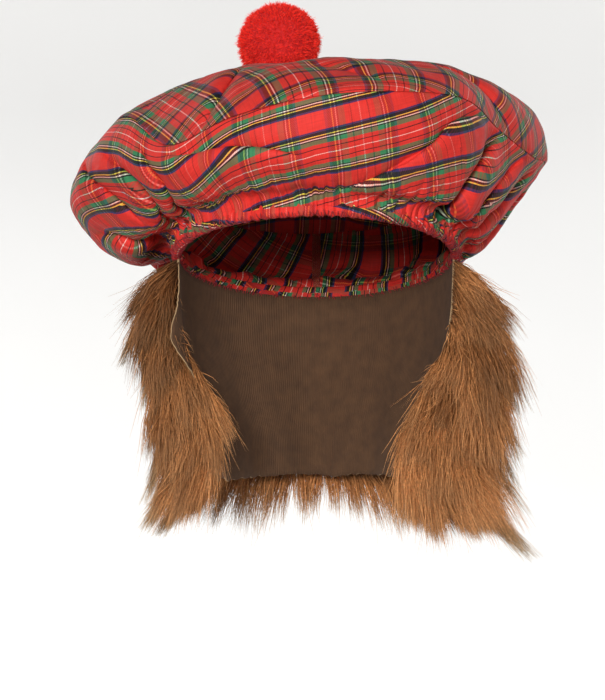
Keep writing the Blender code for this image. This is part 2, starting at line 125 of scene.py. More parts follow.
SECTIONS = (
    Section(0, 0.113, 0.014, 0.134, 0.034, 0.138, 0.0575, 0.112, 0.095),
    Section(20, 0.111, 0.014, 0.130, 0.036, 0.134, 0.064, 0.110, 0.098),
    Section(40, 0.107, 0.013, 0.124, 0.038, 0.1265, 0.069, 0.112, 0.106),
    Section(60, 0.100, 0.012, 0.114, 0.036, 0.118, 0.064, 0.126, 0.118),
    Section(80, 0.095, 0.012, 0.112, 0.034, 0.127, 0.059, 0.139, 0.124),
    Section(100, 0.096, 0.012, 0.120, 0.042, 0.139, 0.067, 0.144, 0.127),
    Section(120, 0.100, 0.011, 0.131, 0.045, 0.141, 0.067, 0.140, 0.120),
    Section(140, 0.112, 0.008, 0.139, 0.038, 0.140, 0.062, 0.122, 0.102),
    Section(160, 0.114, 0.006, 0.145, 0.033, 0.140, 0.056, 0.116, 0.093),
    Section(180, 0.114, 0.005, 0.146, 0.031, 0.139, 0.052, 0.114, 0.090),
    Section(200, 0.114, 0.006, 0.145, 0.032, 0.138, 0.053, 0.114, 0.088),
    Section(220, 0.114, 0.009, 0.144, 0.036, 0.136, 0.057, 0.114, 0.089),
    Section(240, 0.112, 0.011, 0.142, 0.040, 0.133, 0.063, 0.112, 0.090),
    Section(260, 0.109, 0.003, 0.1415, 0.032, 0.127, 0.067, 0.107, 0.090),
    Section(280, 0.108, 0.003, 0.1405, 0.034, 0.118, 0.077, 0.100, 0.091),
    Section(300, 0.106, 0.009, 0.132, 0.040, 0.119, 0.070, 0.101, 0.092),
    Section(320, 0.110, 0.012, 0.128, 0.025, 0.125, 0.043, 0.114, 0.092),
    Section(340, 0.112, 0.013, 0.131, 0.028, 0.1305, 0.051, 0.113, 0.095),
)

BAND_FOLDS = (
    Fold(((-49, 0.84), (-46, 0.57), (-52, 0.16), (-60, 0.0)), 6.4, hidden=0.8),
    Fold(((-63, 0.72), (-55, 0.51), (-57, 0.24), (-72, 0.0)), 6.0, hidden=0.8),
    Fold(((-76, 0.74), (-67, 0.50), (-64, 0.32)), 4.6, lean=2.2, hidden=0.4),
    Fold(((-85, 0.40), (-79, 0.28), (-81, 0.16), (-89, 0.07)), 7.0, 5.6, 1.8, 1.8, 0.0),
    Fold(((-38, 0.90), (-27, 0.80), (-21, 0.72), (-15, 0.65), (-7, 0.56)), 5.6),
    Fold(((56, 0.0), (50.5, 0.20), (53, 0.56), (62, 0.97)), 9.5, 6.0, 1.6, 3.6, 0.7),
    Fold(((58, 0.0), (54.5, 0.08), (52, 0.17), (51, 0.30)), 6.0, 4.6, 1.4, 2.6, 0.0),
    Fold(((8, 0.14), (22, 0.41), (32, 0.66), (35, 0.78), (49, 0.97)), 4.6),
    Fold(((64, 0.0), (65.5, 0.26), (70, 0.60), (76, 0.90)), 4.4, hidden=0.4),
    Fold(((76, 0.05), (82, 0.42), (88, 0.82)), 6.0),
    Fold(((98, 0.03), (104, 0.36), (101, 0.70)), 5.0),
    Fold(((124, 0.85), (116, 0.40), (118, 0.03)), 6.5, 5.0, 2.4),
    Fold(((136, 0.04), (132, 0.34), (138, 0.62)), 4.5, 5.0, 2.4),
    Fold(((146, 0.03), (152, 0.40), (150, 0.84)), 6.5, 5.0, 2.4),
    Fold(((170, 0.78), (178, 0.38), (176, 0.03)), 6.0, 5.0, 2.4),
    Fold(((190, 0.03), (195, 0.30), (192, 0.58)), 4.5, 5.0, 2.4),
    Fold(((204, 0.03), (212, 0.42), (210, 0.82)), 6.5, 5.0, 2.4),
    Fold(((231, 0.82), (236, 0.38), (235, 0.03)), 6.0, 5.0, 2.4),
    Fold(((247, 0.05), (250, 0.34), (246, 0.64)), 5.0),
)
TOP_FOLDS = (
    Fold(((-24, 0.44), (-27, 0.20), (-30, 0.02)), 4.6, 6.0, 2.0, 1.6),
    Fold(((-60, 0.03), (-54, 0.26), (-46, 0.48)), 3.4, 7.0, 2.8, 1.2),
    Fold(((64, 0.02), (56, 0.20), (44, 0.38)), 4.2, 6.0, 2.4, 1.4),
    Fold(((18, 0.02), (12, 0.16), (2, 0.30)), 2.4, 7.0, 2.8, 1.2),
    Fold(((112, 0.03), (107, 0.32), (96, 0.60)), 4.5, 8.0, 3.0, 2.0),
    Fold(((165, 0.03), (170, 0.34), (178, 0.62)), 5.0, 8.0, 3.0, 2.0),
    Fold(((215, 0.03), (209, 0.34), (200, 0.62)), 5.0, 8.0, 3.0, 2.0),
    Fold(((256, 0.03), (250, 0.30), (238, 0.55)), 4.0, 8.0, 3.0, 2.0),
)
BAND_HEADINGS = (
    (-180, -72), (-140, -50), (-110, -26), (-88, -9), (-66, 3), (-50, 11), (-34, 9), (-20, 3),
    (0, 6), (20, 16), (45, 32), (70, 46), (100, 62), (140, 84), (180, 104),
)

FUR_LEVELS = (
    FurLevel(0.000, 1.00, 1.00, 0.008, 0.008, 0.010),
    FurLevel(-0.022, 0.99, 0.99, 0.034, 0.026, 0.040),
    FurLevel(-0.045, 0.96, 0.98, 0.047, 0.036, 0.045),
    FurLevel(-0.075, 0.86, 0.96, 0.064, 0.040, 0.042),
    FurLevel(-0.105, 0.73, 0.93, 0.074, 0.043, 0.048),
    FurLevel(-0.130, 0.71, 0.91, 0.074, 0.043, 0.048),
    FurLevel(-0.160, 0.74, 0.90, 0.072, 0.040, 0.047),
)


def linear_colour(code: str, alpha: float = 1.0) -> tuple[float, float, float, float]:
    """Turns an sRGB hex value such as "#d8262a" to linear light."""
    parts = [int(code[i : i + 2], 16) / 255.0 for i in (1, 3, 5)]
    linear = [c / 12.92 if c <= 0.04045 else ((c + 0.055) / 1.055) ** 2.4 for c in parts]
    return (*linear, alpha)


def feed(tree: Tree, node: bpy.types.Node, inputs: dict[Any, Any]) -> None:
    """Sets a node's inputs.

    Args:
        tree: The node's tree.
        node: The node.
        inputs: For each input, by name or index, a value or the socket that feeds it.
    """
    for key, value in inputs.items():
        socket = node.inputs[key]
        if isinstance(value, Socket):
            tree.links.new(value, socket)
        else:
            socket.default_value = value


def add_node(tree: Tree, kind: str, inputs: dict[Any, Any] | None = None, **settings: Any) -> bpy.types.Node:
    """Adds one node.

    Args:
        tree: The shader or geometry tree.
        kind: The node's type name.
        inputs: Its inputs, as feed takes them.
        **settings: The node's own properties.

    Returns:
        The new node.
    """
    node = tree.nodes.new(kind)
    for name, value in settings.items():
        setattr(node, name, value)
    feed(tree, node, inputs or {})
    return node


def result(tree: Tree, kind: str, *values: Any, **settings: Any) -> Socket:
    """Adds one node and returns its first output.

    Args:
        tree: The shader or geometry tree.
        kind: The node's type name.
        *values: A value or a socket for each input that its settings leave in use, in order. A
            geometry node's second one is often its selection, where True stands for all points.
        **settings: The node's own properties.

    Returns:
        The first output that its settings leave in use.
    """
    node = add_node(tree, kind, **settings)
    in_use = [index for index, socket in enumerate(node.inputs) if socket.enabled]
    feed(tree, node, dict(zip(in_use, values)))
    return next(socket for socket in node.outputs if socket.enabled)


def new_material(name: str) -> tuple[Material, Tree, bpy.types.Node]:
    """Makes a material that uses nodes.

    Args:
        name: The material's name.

    Returns:
        The material, its tree and its Principled shader.
    """
    material = bpy.data.materials.new(name)
    material.use_nodes = True
    tree = material.node_tree
    return material, tree, tree.nodes["Principled BSDF"]


def eased(share: Array) -> Array:
    """A share from 0 to 1 that leaves and arrives gently."""
    return share * share * (3.0 - 2.0 * share)


def smooth_noise(azimuths: Array, knots: int, seed: int) -> Array:
    """Smooth noise that closes after one turn.

    Args:
        azimuths: Where it is read, in degrees.
        knots: How many random values lie round the loop.
        seed: The seed of those values.

    Returns:
        Samples from about -1 to 1.
    """
    values = np.random.default_rng(seed).uniform(-1.0, 1.0, knots)
    place = (azimuths % 360.0) * knots / 360.0
    index = np.floor(place).astype(int)
    share = eased(place - index)
    return values[index % knots] * (1.0 - share) + values[(index + 1) % knots] * share


def unit(vector: Array) -> Array:
    """Vectors of length 1."""
    return vector / np.maximum(np.linalg.norm(vector, axis=-1, keepdims=True), 1e-12)


def lengths_along(curves: Array) -> Array:
    """Running length of each curve."""
    step = np.linalg.norm(np.diff(curves, axis=1), axis=2)
    return np.concatenate([np.zeros((len(curves), 1)), np.cumsum(step, axis=1)], axis=1)


def sample_curves(curves: Array, start: Array, end: Array, shares: Array) -> Array:
    """Points along each curve.

    Args:
        curves: The curves' points.
        start: The length along each curve where its points start.
        end: The length where they end.
        shares: Where the points lie between the two.

    Returns:
        A row of points for each curve.
    """
    length = lengths_along(curves)
    rows = np.empty((len(curves), len(shares), 3))
    for i, curve in enumerate(curves):
        wanted = start[i] + (end[i] - start[i]) * shares
        for axis in range(3):
            rows[i, :, axis] = np.interp(wanted, length[i], curve[:, axis])
    return rows


def smooth_stretch(t: Array, first: Array, leave: Array, last: Array, arrive: Array) -> Array:
    """A stretch of curve between two points, from the slopes at which it leaves and arrives.

    Args:
        t: Where its points lie, from 0 to 1.
        first: The point where it starts.
        leave: The slope there.
        last: The point where it ends.
        arrive: The slope there.

    Returns:
        The points.
    """
    start, end = 2 * t**3 - 3 * t**2 + 1, 3 * t**2 - 2 * t**3
    return start * first + (t**3 - 2 * t**2 + t) * leave + end * last + (t**3 - t**2) * arrive


def curve_through(stations: list[Array], steps: int) -> Array:
    """A smooth curve through the stations of each section.

    Args:
        stations: For each station, its point in every section.
        steps: How many points a stretch between two stations has.

    Returns:
        A row of points for each section.
    """
    points = np.stack(stations, axis=1)
    chord = np.linalg.norm(np.diff(points, axis=1), axis=2)[..., None] ** 0.5
    slope = np.diff(points, axis=1) / chord
    tangent = np.empty_like(points)
    inner = slope[:, :-1] * chord[:, 1:] + slope[:, 1:] * chord[:, :-1]
    tangent[:, 1:-1] = inner / (chord[:, :-1] + chord[:, 1:])
    tangent[:, 0] = slope[:, 0] + (slope[:, 0] - tangent[:, 1]) / 2
    tangent[:, -1] = slope[:, -1] + (slope[:, -1] - tangent[:, -2]) / 2
    stretches = []
    for k in range(points.shape[1] - 1):
        t = np.linspace(0.0, 1.0, steps)[None, :, None]
        leave, arrive = (tangent[:, k + end, None] * chord[:, k, None] for end in (0, 1))
        stretch = smooth_stretch(t, points[:, k, None], leave, points[:, k + 1, None], arrive)
        stretches.append(stretch if k == 0 else stretch[:, 1:])
    return np.concatenate(stretches, axis=1)


def bezier(first: Array, handle_a: Array, handle_b: Array, last: Array, steps: int) -> Array:
    """A Bezier curve for each section.

    Args:
        first: Where each starts.
        handle_a: The handle near its start.
        handle_b: The handle near its end.
        last: Where it ends.
        steps: How many points it has.

    Returns:
        A row of points for each section.
    """
    t = np.linspace(0.0, 1.0, steps)[None, :, None]
    a, b, c, d = (p[:, None] for p in (first, handle_a, handle_b, last))
    return (1 - t) ** 3 * a + 3 * (1 - t) ** 2 * t * b + 3 * (1 - t) * t**2 * c + t**3 * d


def object_from_grid(
    name: str,
    grid: Array,
    uv: Array | None = None,
    closed: bool = True,
    attributes: dict[str, Array] | None = None,
) -> Item:
    """Makes a mesh object from a grid of points.

    Args:
        name: The piece's name.
        grid: Points, column by column; the faces' outer side is on the left of the columns' way.
        uv: Pattern coordinates, with one column more than a closed grid.
        closed: Whether the last column joins the first.
        attributes: Values at the points, by name, as numbers or vectors.

    Returns:
        The object, linked to the scene.
    """
    columns, rows = grid.shape[:2]
    here = np.arange(columns if closed else columns - 1)
    there = (here + 1) % columns
    j = np.arange(rows - 1)
    corners = [(here, j), (there, j), (there, j + 1), (here, j + 1)]
    faces = np.stack([c[:, None] * rows + r[None, :] for c, r in corners], axis=-1).reshape(-1, 4)
    mesh = bpy.data.meshes.new(name)
    mesh.from_pydata(grid.reshape(-1, 3).tolist(), [], faces.tolist())
    if uv is not None:
        unwrapped = [(here, j), (here + 1, j), (here + 1, j + 1), (here, j + 1)]
        corner_uv = np.stack([uv[c[:, None], r[None, :]] for c, r in unwrapped], axis=2)
        layer = mesh.uv_layers.new(name="cloth")
        layer.uv.foreach_set("vector", corner_uv.reshape(-1).astype(np.float32))
    store(mesh, attributes or {})
    mesh.shade_smooth()
    return add_object(name, mesh)


def add_object(name: str, data: bpy.types.ID) -> Item:
    """Adds an object of a mesh, a light or a camera to the scene."""
    item = bpy.data.objects.new(name, data)
    bpy.context.scene.collection.objects.link(item)
    return item


def store(mesh: bpy.types.Mesh, attributes: dict[str, Array]) -> None:
    """Keeps values at a mesh's points.

    Args:
        mesh: The mesh.
        attributes: By name, a number or a vector for each point.
    """
    for name, values in attributes.items():
        is_vector = values.size == 3 * len(mesh.vertices)
        layer = mesh.attributes.new(name, "FLOAT_VECTOR" if is_vector else "FLOAT", "POINT")
        layer.data.foreach_set("vector" if is_vector else "value", values.reshape(-1).astype(np.float32))


def make_plain(item: Item) -> Item:
    """Turns an object's modifiers into its mesh.

    Args:
        item: The object.

    Returns:
        The same object, without modifiers.
    """
    graph = bpy.context.evaluated_depsgraph_get()
    graph.update()
    mesh = bpy.data.meshes.new_from_object(
        item.evaluated_get(graph), preserve_all_data_layers=True, depsgraph=graph
    )
    mesh.name = item.name
    item.modifiers.clear()
    item.data = mesh
    return item


def new_geometry_tree(name: str, inputs: dict[str, Any]) -> Tree:
    """A Geometry Nodes tree with a geometry in and out, and named inputs.

    Args:
        name: The tree's name.
        inputs: Each further input's starting value, or None for a material's.

    Returns:
        The tree, without nodes.
    """
    kinds = {int: "NodeSocketInt", float: "NodeSocketFloat"}
    tree = bpy.data.node_groups.new(name, "GeometryNodeTree")
    tree.interface.new_socket("Geometry", in_out="INPUT", socket_type="NodeSocketGeometry")
    tree.interface.new_socket("Geometry", in_out="OUTPUT", socket_type="NodeSocketGeometry")
    for label, value in inputs.items():
        kind = kinds.get(type(value), "NodeSocketMaterial")
        socket = tree.interface.new_socket(label, in_out="INPUT", socket_type=kind)
        if value is not None:
            socket.default_value = value
    return tree


def run_tree(item: Item, tree: Tree, values: dict[str, Any]) -> Item:
    """Runs a Geometry Nodes tree on an object and keeps the result as its plain mesh.

    Args:
        item: The object that the tree starts from.
        tree: The tree.
        values: The tree's inputs by name, in lower case.

    Returns:
        The same object.
    """
    modifier = item.modifiers.new(tree.name, "NODES")
    modifier.node_group = tree
    for socket in tree.interface.items_tree:
        if socket.in_out == "INPUT" and socket.name.lower() in values:
            modifier[socket.identifier] = values[socket.name.lower()]
    item.update_tag()
    return make_plain(item)


def finish_piece(item: Item, slot: Slot, *nodes: str) -> None:
    """Rides a piece on the cap's body and hides the solids that it stands for.

    Args:
        item: The piece.
        slot: Its material slot in the record; not used.
        *nodes: The solids.
    """
    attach(item, BODY)
    if nodes:
        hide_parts(*nodes)
    LOG.info("%s: %d faces", item.name, len(item.data.polygons))


class Stripe(NamedTuple):
    """One stripe of the sett: its width, its colour, and how fully its weft hides the warp."""

    width: float
    colour: str
    cover: float


@dataclass(frozen=True)
class TartanCloth:
    """Light woven cotton blend in a common red tartan.

    The weft covers more of the face than the warp, so the stripes across are strong and those
    along it are weak. The green and the pale threads are finer, and more of the warp shows through
    them. The twill gives each edge small teeth. Its pitch is drawn coarser than its 0.4 mm, so
    that it shows. The threads wander by the drift over its size, and slubs make them uneven.
    """

    warp_sett: float = 53 * MM
    weft_sett: float = 39.5 * MM
    twill: float = 1.2 * MM
    twill_step: float = 0.30
    rib_depth: float = 0.12 * MM
    drift: float = 0.9 * MM
    drift_size: float = 16.667 * MM
    slub_width: float = 0.7143 * MM
    slub_length: float = 16.667 * MM
    slub_light: float = 0.40
    crumple: float = 2.0 * MM
    crumple_size: float = 9.091 * MM
    light: float = 0.62
    roughness: float = 0.58
    specular: float = 0.22
    weft_share: float = 1.0
    eye: float = 2.2
    stripes: tuple[Stripe, ...] = (
        Stripe(9.6, "#d43028", 0.80),
        Stripe(2.0, "#2a2350", 0.82),
        Stripe(3.2, "#0c0a0e", 0.88),
        Stripe(0.9, "#f0da4e", 0.66),
        Stripe(1.9, "#34100f", 0.80),
        Stripe(0.9, "#fae8d8", 0.66),
        Stripe(1.2, "#0e0e0e", 0.88),
        Stripe(4.6, "#34784e", 0.66),
        Stripe(4.2, "#cf3029", 0.76),
        Stripe(1.0, "#240709", 0.80),
        Stripe(5.5, "#d43028", 0.78),
        Stripe(0.5, "#f6e0d6", 0.66),
    )

    def stripe_ramp(self, tree: Tree, along: Socket, sett: float) -> tuple[Socket, Socket]:
        """The stripes across one run of threads; the half sett is mirrored at both ends.

        Args:
            tree: The material's tree.
            along: The way across the threads.
            sett: The whole sett's width.

        Returns:
            The stripes' colour, as bright as it looks, and their cover.
        """
        half = sett / 2
        mirrored = result(tree, MATHS, along, half, operation="PINGPONG")
        share = result(tree, MATHS, mirrored, half, operation="DIVIDE")
        ramp = add_node(tree, "ShaderNodeValToRGB", {"Fac": share})
        ramp.color_ramp.interpolation = "CONSTANT"
        total = sum(stripe.width for stripe in self.stripes)
        reached = 0.0
        for k, stripe in enumerate(self.stripes):
            stops = ramp.color_ramp.elements
            stop = stops[k] if k < 2 else stops.new(reached / total)
            stop.position = reached / total
            stop.color = linear_colour(stripe.colour, stripe.cover)
            reached += stripe.width
        seen = result(tree, "ShaderNodeGamma", ramp.outputs["Color"], 1.0 / self.eye)
        return seen, ramp.outputs["Alpha"]

    def build(self, name: str, depth: float = 1.0) -> Material:
        """Makes the cloth.

        Args:
            name: The material's name.
            depth: How far the cloth's colour is darkened as painted shade, 1 for the cloth in full light.

        Returns:
            The material.
        """
        material, tree, shader = new_material(name)
        uv = result(tree, "ShaderNodeUVMap", uv_map="cloth")
        split = add_node(tree, "ShaderNodeSeparateXYZ", {0: uv})
        warp_way, weft_way = split.outputs["X"], split.outputs["Y"]
        drift = add_node(tree, NOISE, {"Vector": uv, "Scale": 1.0 / self.drift_size, "Detail": 2.0})
        drift = add_node(tree, "ShaderNodeSeparateXYZ", {0: drift.outputs["Color"]}).outputs
        off_warp = result(tree, MATHS, drift["X"], self.drift, warp_way, operation="MULTIPLY_ADD")
        off_weft = result(tree, MATHS, drift["Y"], self.drift, weft_way, operation="MULTIPLY_ADD")
        warp, _ = self.stripe_ramp(tree, off_warp, self.warp_sett)
        weft, hiding = self.stripe_ramp(tree, off_weft, self.weft_sett)

        # Dark threads show through a weave more than pale ones do, so the two are mixed as seen.
        diagonal = result(tree, MATHS, warp_way, weft_way, operation="ADD")
        twill = result(tree, MATHS, diagonal, self.twill / 2, operation="PINGPONG")
        twill = result(tree, MATHS, twill, self.twill / 2, operation="DIVIDE")
        hiding = result(tree, MATHS, hiding, self.weft_share, operation="MULTIPLY")
        least = result(tree, MATHS, hiding, self.twill_step / 2, operation="SUBTRACT")
        cover = result(tree, MATHS, twill, self.twill_step, least, operation="MULTIPLY_ADD")
        woven = result(tree, MIXED, cover, warp, weft)
        woven = result(tree, "ShaderNodeGamma", woven, self.eye)

        across, along = 1.0 / self.slub_width, 1.0 / self.slub_length
        slub_warp = self.slubs(tree, uv, (across, along, 1.0))
        slub_weft = self.slubs(tree, uv, (along, across, 1.0))
        slub = result(tree, MATHS, slub_warp, slub_weft, operation="ADD")
        # The depth darkens the shaded copies of the cloth: painted shade.
        light = result(tree, MATHS, slub, self.slub_light, self.light * depth, operation="MULTIPLY_ADD")
        crumple = result(tree, NOISE, uv, 1.0 / self.crumple_size, 3.0, 0.55)
        crease = {"Height": crumple, "Strength": 0.5, "Distance": self.crumple}
        crease = add_node(tree, "ShaderNodeBump", crease).outputs["Normal"]
        ribs = {"Height": twill, "Strength": 0.2, "Distance": self.rib_depth, "Normal": crease}
        inputs = {
            "Base Color": result(tree, VECTORS, woven, light, operation="SCALE"),
            "Roughness": result(tree, MATHS, slub, 0.10, self.roughness, operation="MULTIPLY_ADD"),
            "Specular IOR Level": self.specular,
            "Sheen Weight": 0.01,
            "Sheen Roughness": 0.5,
            "Normal": add_node(tree, "ShaderNodeBump", ribs).outputs["Normal"],
        }
        feed(tree, shader, inputs)
        return material

    @staticmethod
    def slubs(tree: Tree, uv: Socket, scale: tuple[float, ...]) -> Socket:
        """Thick and thin places of the threads, drawn out along them."""
        stretched = result(tree, VECTORS, uv, scale, operation="MULTIPLY")
        return result(tree, NOISE, stretched, 1.0, 1.0)


@dataclass(frozen=True)
class PileFibre:
    """Fine dyed fibres, with a colour in the body and at the tip. The darker root colour is painted
    shade deep in the pile.

    Contrast is how far the strands differ in lightness. Crimp is how far painted light and shade
    break up along each strand, in waves of the wave length, for the light that crimped fibres
    would catch. The root's colour ends at the root share.
    """

    root: str
    body: str
    warm: str
    tip: str
    roughness: float
    specular: float
    contrast: float = 0.5
    crimp_light: float = 0.4
    wave_length: float = 1.4286 * MM
    root_share: float = 0.42
    fading: float = 3.5

    def build(self, name: str) -> Material:
        """Makes the fibre.

        Args:
            name: The material's name.

        Returns:
            The material. Each strand's own attributes say where on it a point lies.
        """
        material, tree, shader = new_material(name)
        along, shade, pale = (
            add_node(tree, "ShaderNodeAttribute", attribute_name=key).outputs["Fac"]
            for key in ("along", "shade", "pale")
        )
        body = result(tree, MIXED, shade, linear_colour(self.body), linear_colour(self.warm))
        # The darker root colour is painted shade deep in the pile.
        ramp = add_node(tree, "ShaderNodeValToRGB", {"Fac": along})
        for stop, (place, level) in zip(ramp.color_ramp.elements, ((0.0, 0.0), (self.root_share, 1.0))):
            stop.position = place
            stop.color = (level, level, level, 1.0)
        from_root = result(tree, MIXED, ramp.outputs["Color"], linear_colour(self.root), body)
        faded = result(tree, MATHS, along, self.fading, operation="POWER")
        faded = result(tree, MATHS, faded, pale, operation="MULTIPLY")
        colour = result(tree, MIXED, faded, from_root, linear_colour(self.tip))
        darkest = 1.0 - 0.5 * self.contrast
        light = result(tree, MATHS, shade, self.contrast, darkest, operation="MULTIPLY_ADD")
        # Painted light and shade along each strand, in waves, for the light that crimped fibres would catch.
        place = add_node(tree, "ShaderNodeTexCoord").outputs["Object"]
        waves = result(tree, NOISE, place, 1.0 / self.wave_length, 2.0)
        waves = result(tree, MATHS, waves, 2.0 * self.crimp_light, 1.0 - self.crimp_light, operation="MULTIPLY_ADD")
        light = result(tree, MATHS, light, waves, operation="MULTIPLY")
        inputs = {
            "Base Color": result(tree, VECTORS, colour, light, operation="SCALE"),
            "Roughness": self.roughness,
            "Specular IOR Level": self.specular,
        }
        feed(tree, shader, inputs)
        return material


@dataclass(frozen=True)
class YarnCore:
    """The pressed inner part of a yarn ball, rough, with painted shade darkening the hollows between the yarn
    ends.
    """

    deep_shade: str = "#b81515"
    face: str = "#e02420"
    end_width: float = 2 * MM
    hollow: float = 0.8 * MM

    def build(self, name: str) -> Material:
        """Makes the core, with its yarn ends.

        Args:
            name: The material's name.

        Returns:
            The material.
        """
        material, tree, shader = new_material(name)
        place = add_node(tree, "ShaderNodeTexCoord").outputs["Object"]
        # The colour darkens between the yarn ends: painted shade in the hollows.
        ends = result(tree, "ShaderNodeTexVoronoi", place, 1.0 / self.end_width)
        far = result(tree, MATHS, ends, 1.4, operation="MULTIPLY")
        bump = add_node(tree, "ShaderNodeBump", {"Height": far, "Strength": 0.8, "Distance": -self.hollow})
        inputs = {
            "Base Color": result(tree, MIXED, far, linear_colour(self.face), linear_colour(self.deep_shade)),
            "Normal": bump.outputs["Normal"],
            "Roughness": 0.9,
        }
        feed(tree, shader, inputs)
        return material


@dataclass(frozen=True)
class KnitBacking:
    """Knitted polyester backing of the faux fur: matt, ribbed, with fur showing through.

    Its base and dark colours are kept dark as painted shade inside the hair curtain.
    """

    # Base and dark are darkened as painted shade inside the hair curtain.
    base: str = "#64452b"
    dark: str = "#3a2413"
    cut: str = "#a98a64"
    rib: float = 1.6 * MM
    rib_depth: float = 0.5 * MM
    fluff_size: float = 7.143 * MM

    def build(self, name: str) -> Material:
        """Makes the backing, with its ribs down the drop.

        Args:
            name: The material's name.

        Returns:
            The material.
        """
        material, tree, shader = new_material(name)
        place = add_node(tree, "ShaderNodeTexCoord").outputs["Object"]
        fluff = result(tree, NOISE, place, 1.0 / self.fluff_size, 4.0)
        uv = result(tree, "ShaderNodeUVMap", uv_map="cloth")
        round_cap = result(tree, "ShaderNodeSeparateXYZ", uv)
        ribs = result(tree, MATHS, round_cap, self.rib / 2, operation="PINGPONG")
        ribs = result(tree, MATHS, ribs, self.rib / 2, operation="DIVIDE")
        bump = add_node(tree, "ShaderNodeBump", {"Height": ribs, "Strength": 0.6, "Distance": self.rib_depth})
        inputs = {
            "Base Color": result(tree, MIXED, fluff, linear_colour(self.dark), linear_colour(self.base)),
            "Normal": bump.outputs["Normal"],
            "Roughness": 0.9,
        }
        feed(tree, shader, inputs)
        return material

    def build_edge(self, name: str) -> Material:
        """Makes the cut edge, where the undyed ground threads show."""
        material, tree, shader = new_material(name)
        feed(tree, shader, {"Base Color": linear_colour(self.cut), "Roughness": 0.85})
        return material


@dataclass(frozen=True)
class UnderFur:
    """The dense short modacrylic pile that the long strands stand in, streaked down.

    Its dark colour is painted shade deep in the pile.
    """

    deep_shade: str = "#4a2c16"
    face: str = "#8f562b"
    streak_width: float = 0.6667 * MM
    streak_length: float = 11.111 * MM
    streak_depth: float = 2 * MM

    def build(self, name: str) -> Material:
        """Makes the under-layer.

        Args:
            name: The material's name.

        Returns:
            The material.
        """
        material, tree, shader = new_material(name)
        place = add_node(tree, "ShaderNodeTexCoord").outputs["Object"]
        scale = (1.0 / self.streak_width, 1.0 / self.streak_width, 1.0 / self.streak_length)
        drawn = result(tree, VECTORS, place, scale, operation="MULTIPLY")
        # The streaks run from the face colour to a dark one, which is painted shade deep in the pile.
        streaks = result(tree, NOISE, drawn, 1.0, 2.0)
        bump = {"Height": streaks, "Strength": 1.0, "Distance": self.streak_depth}
        inputs = {
            "Base Color": result(tree, MIXED, streaks, linear_colour(self.deep_shade), linear_colour(self.face)),
            "Normal": add_node(tree, "ShaderNodeBump", bump).outputs["Normal"],
            "Roughness": 0.8,
        }
        feed(tree, shader, inputs)
        return material


